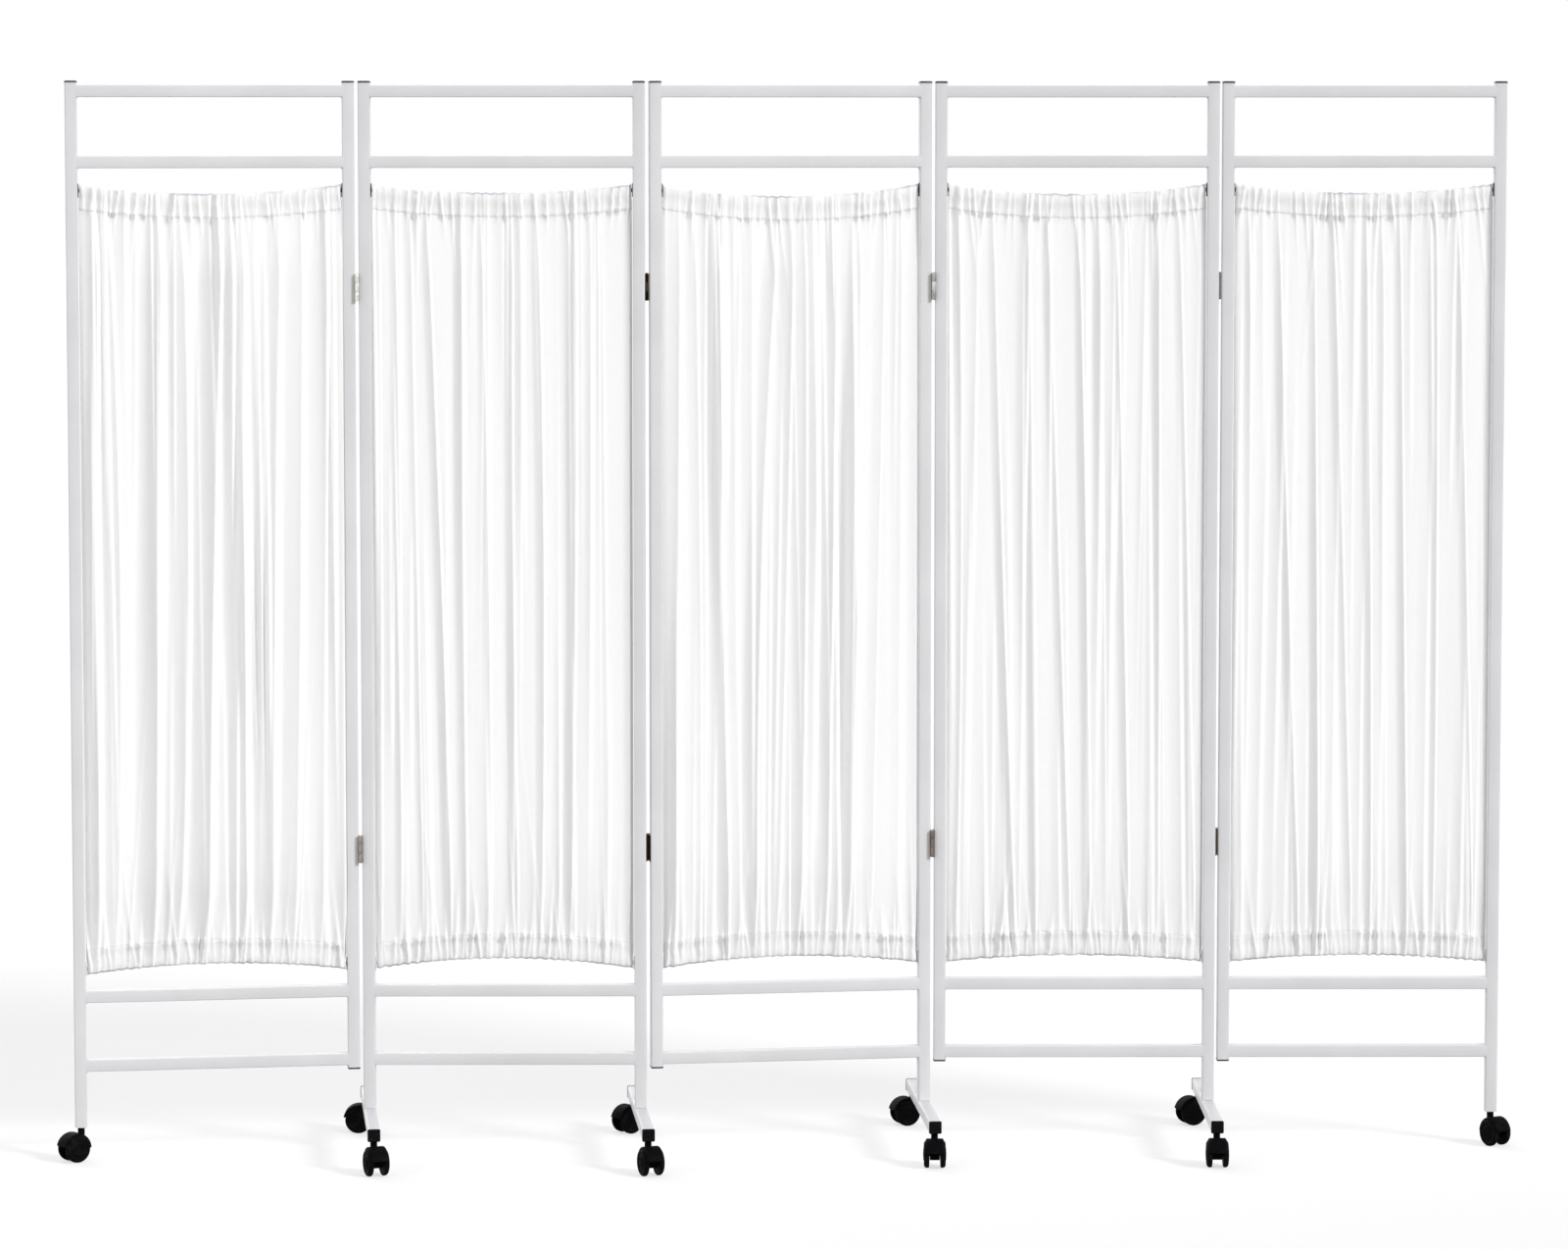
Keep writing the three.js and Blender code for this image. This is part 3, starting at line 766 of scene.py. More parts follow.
PANELS = (
    Panel(1, 8, End.CASTER, End.SHORT, 15 * MM, 14 * MM, 2.15, (
        (45, 35, 30, 5, 5, 5), (85, 120, 95, 4, 5, 3), (285, 258, 238, 8, 10, 9),
        (365, 375, 330, 6, 8, 7), (515, 468, 440, 10, 10, 10), (555, 553, 552, 8, 0, 0),
        (600, 588, 592, 7, 10, 8), (745, 708, 690, 5, 8, 8), (830, 808, 780, 3, 6, 5),
        (920, 905, 890, 5, 4, 2), (985, 975, 975, 4, 5, 4))),
    Panel(2, 0, End.FOOT, End.FOOT, 14 * MM, 17 * MM, 1.0, (
        (20, 18, 15, 5, 6, 4), (80, 92, 90, 4, 6, 4), (140, 158, 180, 4, 4, 2),
        (200, 250, 285, 6, 8, 10), (335, 333, 345, 8, 10, 9), (410, 435, 440, 3, 3, 3),
        (530, 527, 545, 6, 7, 7), (625, 645, 630, 7, 9, 7), (700, 705, 700, 0, 1, 7),
        (775, 765, 745, 8, 10, 7), (860, 865, 870, 5, 1, 0), (985, 980, 978, 3, 4, 4))),
    Panel(3, 8, End.SHORT, End.FOOT, 20 * MM, 15 * MM, 1.5, (
        (55, 40, 30, 5, 7, 7), (110, 130, 130, 4, 4, 3), (200, 212, 240, 7, 8, 10),
        (285, 280, 290, 5, 1, 3), (440, 360, 345, 7, 9, 10), (490, 465, 430, 8, 6, 6),
        (540, 535, 515, 5, 9, 9), (665, 640, 620, 6, 9, 9), (755, 735, 705, 7, 9, 10),
        (855, 830, 800, 4, 3, 3), (920, 915, 910, 4, 3, 1), (988, 982, 980, 3, 4, 4))),
    Panel(4, 0, End.SHORT, End.FOOT, 17 * MM, 11 * MM, 0.95, (
        (30, 45, 25, 6, 4, 4), (165, 205, 262, 6, 8, 9), (300, 325, 342, 5, 9, 10),
        (375, 425, 480, 7, 7, 5), (495, 530, 550, 5, 8, 9), (575, 600, 620, 7, 3, 1),
        (640, 675, 705, 6, 8, 8), (805, 812, 820, 9, 9, 4), (885, 925, 962, 6, 7, 7),
        (988, 985, 985, 3, 3, 3))),
    Panel(5, 0, End.SHORT, End.CASTER, 15 * MM, 11 * MM, 0.95, (
        (45, 55, 30, 5, 4, 4), (160, 205, 262, 6, 8, 8), (298, 315, 332, 5, 9, 10),
        (370, 420, 468, 7, 7, 5), (500, 525, 538, 5, 8, 8), (560, 585, 600, 7, 3, 1),
        (630, 655, 682, 6, 8, 8), (770, 782, 784, 9, 9, 5), (855, 900, 938, 6, 7, 7),
        (985, 985, 985, 3, 3, 3))),
)


@dataclass(frozen=True)
class Layout:
    """Places of the panels, the feet and the castors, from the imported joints."""

    width: float = 476 * MM
    half_tube: float = 10 * MM
    half_gap: float = 2.5 * MM  # half of the space between two neighbouring posts
    axis_off: float = 14 * MM  # from a panel's middle plane to its hinge axes

    def joint(self, name: str) -> dict:
        """The record's joint of that name."""
        return next(j for j in frame["joints"] if j["name"] == name)

    def panel(self, panel: Panel) -> Matrix:
        """Where a panel's own origin is: the foot of its left post's outer face.

        Args:
            panel: the panel.

        Returns:
            The placing matrix.
        """
        # The hinge lines and whether their barrels stand at the front, from left to right
        lines = (("panel_1_fold", True), ("panel_2_fold", False),
                 ("panel_4_fold", True), ("panel_5_fold", False))
        if panel.number == 1:
            (name, on_front), x = lines[0], self.width + self.half_gap
        else:
            (name, on_front), x = lines[panel.number - 2], -self.half_gap
        turn = Matrix.Rotation(math.radians(panel.turn_deg), 4, "Z")
        local = turn @ Vector((x, -self.axis_off if on_front else self.axis_off, 0))
        at = Vector(self.joint(name)["pos_m"])
        return shift(at.x - local.x, at.y - local.y, 0) @ turn

    def caster(self, place: str) -> Matrix:
        """Where a castor's own origin is: the floor under its stem, with X towards its axle.

        Args:
            place: the castor's place, as in its joints' names.

        Returns:
            The placing matrix.
        """
        stem = Vector(self.joint(f"caster_{place}_swivel")["pos_m"])
        axle = Vector(self.joint(f"caster_{place}_roll")["axis"])
        turn = math.atan2(axle.y, axle.x) - math.pi / 2
        return shift(stem.x, stem.y, 0) @ Matrix.Rotation(turn, 4, "Z")

    def foot(self, number: int) -> Matrix:
        """Where a foot's own origin is: the floor under its post, with Y towards its back end.

        Args:
            number: the foot's number.

        Returns:
            The placing matrix.
        """
        front, back = (Vector(self.joint(f"caster_foot_{number}_{end}_swivel")["pos_m"])
                       for end in ("front", "back"))
        way = back - front
        turn = math.atan2(way.y, way.x) - math.pi / 2
        middle = (front + back) / 2
        return shift(middle.x, middle.y, 0) @ Matrix.Rotation(turn, 4, "Z")


# ---------------------------------------------------------------- the sub-assemblies


@dataclass(frozen=True)
class WeldedFrame:
    """The square-tube frame of one panel with its welds, end caps and wire bushes."""

    layout: Layout = Layout()
    top: float = 1797 * MM
    rails: tuple = (1783 * MM, 1666 * MM, 277 * MM, 161 * MM)
    corner: float = 2.2 * MM
    short_end: float = 147 * MM
    foot_end: float = 77.3 * MM
    caster_end: float = 57 * MM
    cap_height: float = 3 * MM
    cap_lip: float = 0.8 * MM
    cap_taper: float = 0.9
    cap_steps: tuple = ((1.2 * MM, 0), (2.4 * MM, 0.25 * MM))  # how far each is set in and raised
    cap_corner: float = 1.8 * MM
    bush_size: tuple = (1.6 * MM, 4.2 * MM, 11.5 * MM)  # its thickness, and half its other sides
    collar: float = 3.4 * MM  # radius of the collar round the wire, and of the bush's corners
    bead: float = 1.5 * MM
    bead_off: float = 0.1 * MM  # how far a weld's middle stands off the rail
    wires: tuple = (1619 * MM, 323 * MM)

    def weld(self) -> Piece:
        """A rippled weld bead across the tube.

        Returns:
            The new mesh object, along the Y axis at the origin.
        """
        span = self.layout.half_tube - self.corner
        share = np.linspace(-1, 1, 23)
        ripple = 1 + 0.09 * np.sin(share * 27)
        swell = self.bead * np.sqrt(np.clip(1.04 - share ** 8, 0, 1)) * ripple
        side = [(0, y, radius) for y, radius in zip(share * span, swell)]
        return smooth(turned([(0, -span, 0), *side, (0, span, 0)], (0, 1, 0), 10), 60)

    def tubes(self, panel: Panel, bead: Piece) -> Piece:
        """The posts and rails of one panel as one weldment, in the panel's own axes.

        Args:
            panel: the panel.
            bead: the weld bead, which is copied into each corner.

        Returns:
            The new mesh object.
        """
        half, width = self.layout.half_tube, self.layout.width
        floors = {End.SHORT: self.short_end, End.FOOT: self.foot_end, End.CASTER: self.caster_end}
        low, high = (0, -half, floors[panel.left]), (2 * half, half, self.top)
        whole = bar(low, high, 2, self.corner)
        low, high = (width - 2 * half, -half, floors[panel.right]), (width, half, self.top)
        combine(whole, bar(low, high, 2, self.corner))
        start = 2 * half - self.corner * 0.98
        for z in self.rails:
            low, high = (start, -half, z - half), (width - start, half, z + half)
            combine(whole, bar(low, high, 0, self.corner))
        smooth(whole, 28)
        beads = [copy_to(bead, "bead", shift(x, 0, z + side * (half + self.bead_off)))
                 for z in self.rails for side in (-1, 1) for x in (2 * half, width - 2 * half)
                 if not (z == self.rails[0] and side == 1)]
        return named(joined(whole, *beads), f"frame_{panel.number}")

    def cap(self) -> Piece:
        """A pressed-in end cap, slightly domed, its seat at z = 0."""
        side = self.layout.half_tube + self.cap_lip
        return lid(2, side, self.cap_height, self.cap_taper, self.cap_corner, 35, *self.cap_steps)

    def bush(self) -> Piece:
        """The bush that leads a wire through a post: a plate on the post's inner face.

        Returns:
            The new mesh object, along +X.
        """
        thickness, y, z = self.bush_size
        obj = round_along(block((0, -y, -z), (thickness, y, z)), 0, self.collar, 5)
        combine(obj, rod((1 * MM, 0, 0), (thickness + 1 * MM, 0, 0), self.collar, 24))
        return smooth(soften(obj, 0.35 * MM), 40)

    def build(self) -> None:
        """Models and dresses all five frames with their caps and bushes."""
        paint, plastic = FRAME_PAINT.make(), CAP_PLASTIC.make()
        # Dark bushes at the top, also painted shade at the curtain's top corners, and pale ones at
        # the bottom
        rows = tuple(zip(ROWS, self.wires, (SHADE_DARK_BUSH_PLASTIC.make(), PALE_PLASTIC.make())))
        bead, cap, bush = self.weld(), self.cap(), self.bush()
        half, width = self.layout.half_tube, self.layout.width
        for panel in PANELS:
            number, place, body = panel.number, self.layout.panel(panel), f"panel_{panel.number}"
            tubes = self.tubes(panel, bead)
            tubes.data.transform(place)
            dress(tubes, paint, "frame", body, f"panel_frame_{number}")
            for side, x, end in (("left", half, panel.left), ("right", width - half, panel.right)):
                at = place @ shift(x, 0, self.top)
                top = copy_to(cap, f"cap_{number}_{side}_top", at)
                dress(top, plastic, "caster_body", body)
                if end is End.SHORT:
                    at = place @ shift(x, 0, self.short_end) @ Matrix.Rotation(math.pi, 4, "X")
                    bottom = copy_to(cap, f"cap_{number}_{side}_bottom", at)
                    dress(bottom, plastic, "caster_body", body)
                inward = 1 if side == "left" else -1
                for row, z, finish in rows:
                    at = place @ shift(x + inward * half, 0, z) @ Matrix.Diagonal((inward, 1, 1, 1))
                    lead = copy_to(bush, f"bush_{number}_{side}_{row}", at)
                    dress(lead, finish, "caster_body", body)
        discard(bead, cap, bush)


def bell(off: np.ndarray, width: float, power: int = 2) -> np.ndarray:
    """A bell curve, 1 where off is 0, whose top is flatter for a higher even power."""
    return np.exp(-(off / width) ** power)


@dataclass(frozen=True)
class GatheredCurtain:
    """A cloth gathered on two wires, with a hem tunnel at its top and its bottom."""

    layout: Layout = Layout()
    top: float = 1628 * MM
    bottom: float = 314 * MM
    side_gap: float = 1.5 * MM
    bush_gap: float = 2.9 * MM
    hem: float = 40 * MM
    wire_at: float = 9 * MM  # from a hem's edge to the wire
    tunnel: float = 2.55 * MM  # how far a hem's layers stand off the wire's middle
    layer: float = 0.32 * MM  # and from each other's middle, off the wire
    thickness: float = 0.42 * MM
    groove: float = 0.5 * MM  # how deep the seam draws the cloth in
    ruffle: float = 0.3 * MM  # how uneven its top and bottom edges are
    curl: float = 1.2 * MM  # how far its side edges turn back
    forward: float = 3 * MM  # how far the cloth stands in front of the wires between the folds
    fold_depth: float = 9 * MM
    fold_width: float = 18 * MM
    fold_back: float = 0.18  # the steep side of a fold, as a share of its width
    fold_ridge: float = 0.35  # how far its ridge is from its line, as such a share
    fold_opens: float = 0.12  # the height over which a fold opens from its hem
    depths_at: tuple = (0.04, 0.5, 0.96)  # where down the cloth the folds' depths are given
    waves: int = 6
    wave_height: float = 0.3 * MM
    creases: int = 36
    crease_back: float = 0.4  # the steep side of a faint crease or a gather
    gather_deep: tuple = (0.12, 0.35, 0.6)  # how deep it may be, as a share of its width
    flat: tuple = (0.60, 1.40)  # cut size: 1.4 times the gathered width, and both hems
    columns: int = 300
    rows: int = 84
    stitch: float = 3.0 * MM
    stitch_pitch: float = 5.4 * MM
    stitch_radius: float = 0.34 * MM
    stitch_out: float = 0.3 * MM  # how far its middle stands in front of the cloth
    # A place along half a stitch each way from its middle, and how thick it is there
    stitch_shape: tuple = ((-1, 0.25), (-0.7, 0.85), (0, 1), (0.7, 0.85), (1, 0.25))

    @property
    def span(self) -> float:
        """The width between a panel's two posts."""
        return self.layout.width - 4 * self.layout.half_tube

    def edges(self, share: np.ndarray, panel: Panel) -> tuple:
        """Heights of the cloth's top and bottom edge.

        Args:
            share: place across the cloth, 0 to 1.
            panel: the panel.

        Returns:
            The top edge's and the bottom edge's heights.
        """
        bow = 4 * share * (1 - share)
        rng = np.random.default_rng(40 + panel.number)
        ruffle = sum(self.ruffle * math.cos(k) * np.sin(2 * np.pi * (f * share + p))
                     for k, (f, p) in enumerate(zip(rng.uniform(9, 34, 7), rng.random(7))))
        return self.top - panel.sag * bow + ruffle, self.bottom + panel.lift * bow - ruffle

    def pleat(self, s: np.ndarray, back: float) -> np.ndarray:
        """Height across a pleat, which rises from s = -1 to 1 at 0, then falls to back."""
        fall = np.clip(s / back, 0, 1)
        return np.where(s <= 0, np.clip(s + 1, 0, 1) ** 1.5, (1 - fall) ** 2 * (1 + 2 * fall))

    def drape(self, share: np.ndarray, down: np.ndarray, panel: Panel) -> np.ndarray:
        """How far the cloth stands towards the front.

        Args:
            share: place across the cloth, 0 to 1.
            down: height on the cloth, 0 at its top edge and 1 at its bottom edge.
            panel: the panel.

        Returns:
            The height of the cloth towards the front, in metres.
        """
        near = np.minimum(down, 1 - down) * (self.top - self.bottom)
        reach = np.clip((near - 0.4 * self.hem) / self.fold_opens, 0, 1) ** 0.8
        height = np.zeros(np.broadcast(share, down).shape)
        for fold in panel.folds:
            top, middle, bottom = (place / 1000 for place in fold[:3])
            # The fold's line is the parabola through its three places
            a, b = 2 * top - 4 * middle + 2 * bottom, -3 * top + 4 * middle - bottom
            at = (a * down + b) * down + top
            depth = np.interp(down, self.depths_at, [depth / 10 for depth in fold[3:]])
            wide = (0.55 + 0.45 * depth) * self.fold_width * (0.5 + 0.5 * reach) * panel.fullness
            pleat = self.pleat((share - at) * self.span / wide - self.fold_ridge, self.fold_back)
            height += depth * panel.fullness ** 1.25 * (0.3 + 0.7 * reach) * self.fold_depth * pleat
        rng = np.random.default_rng(70 + panel.number)
        for _ in range(self.waves):  # broad waves between the folds
            f, p, q = rng.uniform(1.5, 6), rng.random(), rng.uniform(-0.5, 0.5)
            height += self.wave_height * np.sin(2 * np.pi * (f * share + p + q * down)) * reach
        for _ in range(self.creases):  # faint creases, each over some of the height
            at, drift, middle = rng.random(), rng.uniform(-0.05, 0.05), rng.uniform(-0.1, 1.2)
            wide = rng.uniform(8, 21) * MM
            deep = wide * rng.uniform(0.06, 0.24) * min(panel.fullness, 1.5)
            fade = bell(down - middle, rng.uniform(0.12, 0.45), 4)
            s = (share - at - drift * (down - 0.5)) * self.span / wide
            height += deep * fade * self.pleat(s, self.crease_back)
        base = (self.forward - 0.2 * self.fold_depth) * reach
        return height + base + self.gathers(share, near, down < 0.5, panel)

    def gathers(self, share: np.ndarray, near: np.ndarray, at_top: np.ndarray,
                panel: Panel) -> np.ndarray:
        """The short, sharp gathers of the hems, which fade out into the cloth.

        Args:
            share: place across the cloth, 0 to 1.
            near: distance from the nearer hem's edge, in metres.
            at_top: whether that is the top hem.
            panel: the panel.

        Returns:
            The height of the gathers towards the front, in metres.
        """
        past = np.clip(near - self.hem, 0, None)
        slack = 1 - 0.45 * bell(near - self.wire_at, 6 * MM)
        pull = 1 + 0.5 * bell(near - self.hem, 5 * MM)
        height = np.zeros(np.broadcast(share, near).shape)
        for row in (True, False):
            rng = np.random.default_rng(10 + panel.number + 20 * row)
            fading, step = (22, 0.048) if row else (45, 0.036)
            at = 0.012
            while at < 0.99:
                lean, run = rng.uniform(-5, 5) * MM, rng.exponential(fading) * MM + 5 * MM
                wide = rng.uniform(5, 11) * MM
                deep = wide * rng.choice(self.gather_deep)
                s = ((share - at) * self.span - lean * (near - self.wire_at) / self.hem) / wide
                gather = self.pleat(s, self.crease_back) * (at_top == row)
                height += deep * np.exp(-past / run) * gather
                at += rng.uniform(0.016, step)
        # The hem's two layers stand out a little, and the seam draws them in
        inside = np.clip((self.hem - near) / (1.2 * MM) + 0.5, 0, 1)
        groove = self.groove * bell(near - self.hem, 2 * MM)
        return height * slack * pull - groove + 0.6 * MM * inside

    def place(self, share: np.ndarray, near_edge: np.ndarray, layer: int, at_top: bool,
              panel: Panel) -> np.ndarray:
        """Points of one layer of the cloth, measured from one of its edges.

        Args:
            share: place across the cloth, 0 to 1.
            near_edge: distance from that edge, in metres.
            layer: -1 for the front layer, 1 for a hem's back one and 0 for the edge between.
            at_top: measured from the top edge, or from the bottom one.
            panel: the panel.

        Returns:
            The points, with x, y, z in the last axis, in the panel's own axes.
        """
        top, bottom = self.edges(share, panel)
        z = top - near_edge if at_top else bottom + near_edge
        near = np.minimum(top - z, z - bottom)
        over_wire = bell(near - self.wire_at, 12 * MM)
        merge = np.clip((self.hem + 7 * MM - near) / (7 * MM), 0, 1)
        height = self.drape(share, np.clip((top - z) / (top - bottom), 0, 1), panel)
        if layer == 0:
            height = height * 0.5
        elif layer == 1:
            height = height * (1 - over_wire)
        y = layer * (self.layer + self.tunnel * over_wire) * merge - height
        round_bush = bell(near - self.wire_at, 15 * MM, 6)
        gap = self.side_gap + (self.bush_gap - self.side_gap) * round_bush
        curl = bell(np.minimum(share, 1 - share), 0.008)
        x = 2 * self.layout.half_tube + gap + share * (self.span - 2 * gap)
        return np.stack([x, y + self.curl * curl, z], axis=-1)

    def cloth(self, panel: Panel) -> Piece:
        """The whole cloth of one panel, hems and all, in the panel's own axes.

        Args:
            panel: the panel.

        Returns:
            The new mesh object with its UV map.
        """
        share = np.linspace(0, 1, self.columns + 1)[None]
        top, bottom = self.edges(share, panel)
        # Distances from an edge: a hem's back layer, its front with rows close to the seam, and
        # then rows as far as the cloth's middle
        back = np.linspace(self.hem + 1.5 * MM, 0.5 * MM, 15)
        fine = np.concatenate([
            np.linspace(0.5 * MM, self.hem - 5 * MM, 12),
            self.hem + np.linspace(-3.2 * MM, 3.2 * MM, 9),
            self.hem + np.array((5, 8, 12, 18)) * MM])
        onward = np.linspace(0, 1, self.rows // 2)[1:, None] * ((top - bottom) / 2 - fine[-1])
        front = np.concatenate([fine[:, None] + 0 * share, fine[-1] + onward])
        layers, from_edge = [], []
        for at_top in (True, False):
            hem = np.concatenate([
                self.place(share, back[:, None] + 0 * share, 1, at_top, panel),
                self.place(share, 0 * share, 0, at_top, panel),
                self.place(share, front, -1, at_top, panel)])
            distance = np.concatenate([back, [0], front.mean(axis=1)])
            # The lower half is turned over, and its first row is the upper one's last
            layers.append(hem if at_top else hem[::-1][1:])
            from_edge.append(distance if at_top else distance[::-1][1:])
        points, from_edge = np.concatenate(layers), np.concatenate(from_edge)
        rows, columns = points.shape[:2]
        r, c = np.meshgrid(np.arange(rows - 1), np.arange(columns - 1), indexing="ij")
        first = r * columns + c
        quads = np.stack([first, first + columns, first + columns + 1, first + 1], axis=2)
        obj = mesh_from(f"cloth_{panel.number}", points, quads)
        distance = obj.data.attributes.new("from_edge", "FLOAT", "POINT")
        distance.data.foreach_set("value", np.repeat(from_edge, columns).astype(np.float32))
        along = np.concatenate([[0], np.cumsum(np.abs(np.diff(points[:, columns // 2, 2])))])
        across = share[0] * self.flat[0]
        uv = np.stack(np.broadcast_arrays(across[None], along[:, None]), axis=-1).reshape(-1, 2)
        corner = np.empty(len(obj.data.loops), dtype=np.int32)
        obj.data.loops.foreach_get("vertex_index", corner)
        uv_map = obj.data.uv_layers.new(name="cloth")
        uv_map.data.foreach_set("uv", uv[corner].astype(np.float32).ravel())
        modify(obj, "SOLIDIFY", thickness=self.thickness, offset=0)
        bpy.ops.object.shade_smooth()
        return obj

    def stitching(self, panel: Panel) -> Piece:
        """The two rows of stitches that close the hems, in the panel's own axes.

        Args:
            panel: the panel.

        Returns:
            The new mesh object.
        """
        count = int(self.span / self.stitch_pitch)
        along, swell = np.array(self.stitch_shape).T
        swell = swell[:, None] * self.stitch_radius
        turn = np.linspace(0, 2 * math.pi, 6, endpoint=False)
        half = 0.5 * self.stitch / self.stitch_pitch
        share = (np.arange(count)[:, None] + 0.5 + along * half) / count
        seam = np.full_like(share, self.hem)
        lines = [self.place(share, seam, -1, at_top, panel) for at_top in (True, False)]
        lines = np.concatenate(lines)
        rounds, sides = len(along), len(turn)
        flat = np.zeros((rounds, sides))
        skin = np.stack([flat, swell * np.cos(turn), swell * np.sin(turn)], axis=2)
        points = lines[:, :, None] + skin - [0, self.stitch_out, 0]
        i, k, s = np.meshgrid(np.arange(len(lines)), np.arange(rounds - 1), np.arange(sides),
                              indexing="ij")
        start = (i * rounds + k) * sides
        first, onward = start + s, start + (s + 1) % sides
        quads = np.stack([first, onward, onward + sides, first + sides], axis=-1)
        return smooth(close_up(mesh_from(f"stitching_{panel.number}", points, quads)), 60)

    def build(self) -> None:
        """Models and dresses the five curtains, and finishes the wires that carry them."""
        cloth, thread, sleeve = CURTAIN_CLOTH.make(), THREAD.make(), WIRE_SLEEVE.make()
        for panel in PANELS:
            place, body = self.layout.panel(panel), f"panel_{panel.number}"
            piece, stitches = self.cloth(panel), self.stitching(panel)
            for obj in (piece, stitches):
                obj.data.transform(place)
            dress(piece, cloth, "curtain", body, f"curtain_{panel.number}")
            dress(stitches, thread, "curtain", body)
            wires = [f"curtain_wire_{row}_{panel.number}" for row in ROWS]
            for wire in wires:
                frame["nodes"][wire].material_slots[0].material = sleeve


@dataclass(frozen=True)
class ButtHinge:
    """The butt hinges: a leaf with the pin, a leaf without it, and their screws."""

    layout: Layout = Layout()
    height: float = 45 * MM
    depth: float = 20 * MM  # from the pin's axis to the leaf's far edge
    near: float = 0.7 * MM  # from the axis to the leaf's near face
    thickness: float = 1.5 * MM
    corner: float = 2.4 * MM
    knuckle: float = 3.5 * MM
    split: float = 0.4 * MM
    pin: float = 1.5 * MM
    # Half of the pin's outline, in millimetres: its radius, and how far past the leaf's end
    pin_head: tuple = ((0, 0.75), (1.3, 0.7), (2.0, 0.45), (2.35, -0.05), (1.5, -0.3))
    upper: float = 1458 * MM
    lower: float = 517 * MM
    screws: tuple = ((10 * MM, 9.5 * MM), (10 * MM, 35.5 * MM))
    sink: tuple = (2.9 * MM, 0.9 * MM)  # radius and depth of the hole for a screw's head
    # A screw head's outline, in millimetres: down from its face, and out from its axis
    screw_head: tuple = ((0.12, 0), (0.10, 1.2), (0.02, 2.2), (0.12, 2.75), (1.2, 1.5), (1.2, 0))
    slot: tuple = (0.55, 3.0)  # width and length of its cross, in millimetres

    def leaf(self, has_pin: bool) -> Piece:
        """One leaf with its knuckles, its axis at the origin and its plate along +Y.

        Args:
            has_pin: the leaf with the two outer knuckles and the pin.

        Returns:
            The new mesh object.
        """
        h, room, r, g = self.height, self.knuckle + self.split, self.corner, self.split / 2
        low, high = h / 3, 2 * h / 3
        arc = quarter(6)
        far = [(self.depth - r + r * s, r - r * c) for c, s in arc]
        far += [(self.depth - r + r * c, h - r + r * s) for c, s in arc]
        if has_pin:
            outline = [(0, 0), *far, (0, h), (0, high + g), (room, high + g), (room, low - g),
                       (0, low - g)]
        else:
            outline = [(room, 0), *far, (room, h), (room, high - g), (0, high - g), (0, low + g),
                       (room, low + g)]
        flat = plate(outline, self.thickness)
        flat.data.transform(shift(self.near, 0, 0))
        radius, deep = self.sink
        for y, z in self.screws:
            sink = rod((self.near - 1 * MM, y, z), (self.near + deep, y, z), radius, 24)
            combine(flat, sink, "DIFFERENCE")
        parts = [soften(flat, 0.25 * MM, 2, 45)]
        for z0, z1 in ((0, low - g), (high + g, h)) if has_pin else ((low + g, high - g),):
            knuckle = rod((0, 0, z0), (0, 0, z1), self.knuckle, 36)
            if not has_pin:
                bore = rod((0, 0, z0 - MM), (0, 0, z1 + MM), self.pin + 0.35 * MM, 24)
                combine(knuckle, bore, "DIFFERENCE")
            parts.append(soften(knuckle, 0.35 * MM, 3, 60))
        if has_pin:
            profile = [(x * MM, 0, -past * MM) for x, past in self.pin_head]
            profile += [(x * MM, 0, h + past * MM) for x, past in self.pin_head[::-1]]
            parts.append(turned(profile, (0, 0, 1), 28))
        return smooth(joined(*parts), 35)

    def screw(self) -> Piece:
        """A countersunk screw head with a cross recess.

        Returns:
            The new mesh object, its face at x = 0 and towards -X.
        """
        points = [((x - 0.05) * MM, 0, z * MM) for x, z in self.screw_head]
        obj = turned(points, (1, 0, 0), 24)
        for y, z in (self.slot, self.slot[::-1]):
            low, high = (-1 * MM, -y / 2 * MM, -z / 2 * MM), (0.65 * MM, y / 2 * MM, z / 2 * MM)
            combine(obj, block(low, high), "DIFFERENCE")
        return smooth(obj, 30)

    def build(self) -> None:
        """Models and dresses the leaves of all eight hinges with their screws."""
        t = HingeTone
        # Each line's upper leaf with the pin and free leaf, and its lower ones
        # The hinge between panels 2 and 3 takes the two darkest tones, which are painted shade
        # because it stands behind the gap
        tones = ((t.PALE, t.PALE, t.WORN, t.WORN), (t.BLACKENED, t.BRASS, t.BRONZED, t.BRONZED),
                 (t.STEEL, t.SILVER, t.BROWN, t.BROWN), (t.STEEL, t.SILVER, t.BROWN, t.BROWN))
        finishes = {tone: tone.value.make() for tone in HingeTone}
        leaves = {"pin": self.leaf(True), "free": self.leaf(False)}
        screw = self.screw()
        lines = [(line, row, middle, four[i:i + 2]) for line, four in enumerate(tones, 1)
                 for row, middle, i in (("upper", self.upper, 0), ("lower", self.lower, 2))]
        past = self.layout.half_gap
        for line, row, middle, pair in lines:
            z, inward = middle - self.height / 2, 1 if line in (1, 3) else -1
            for kind, number, tone in (("pin", line, pair[0]), ("free", line + 1, pair[1])):
                sideways, x = (-1, self.layout.width + past) if kind == "pin" else (1, -past)
                place = (self.layout.panel(PANELS[number - 1])
                         @ shift(x, -inward * self.layout.axis_off, z)
                         @ Matrix.Diagonal((sideways, inward, 1, 1)))
                body, name = f"panel_{number}", f"{row}_{line}_{line + 1}_{kind}"
                leaf = copy_to(leaves[kind], f"leaf_{name}", place)
                dress(leaf, finishes[tone], "hinge", body, f"hinge_leaf_{name}")
                for i, (along, up) in enumerate(self.screws):
                    at = place @ shift(self.near, along, up) @ Matrix.Rotation(0.6 + i, 4, "X")
                    head = copy_to(screw, f"screw_{name}_{i}", at)
                    dress(head, finishes[HingeTone.STEEL], "hinge", body)
        discard(*leaves.values(), screw)


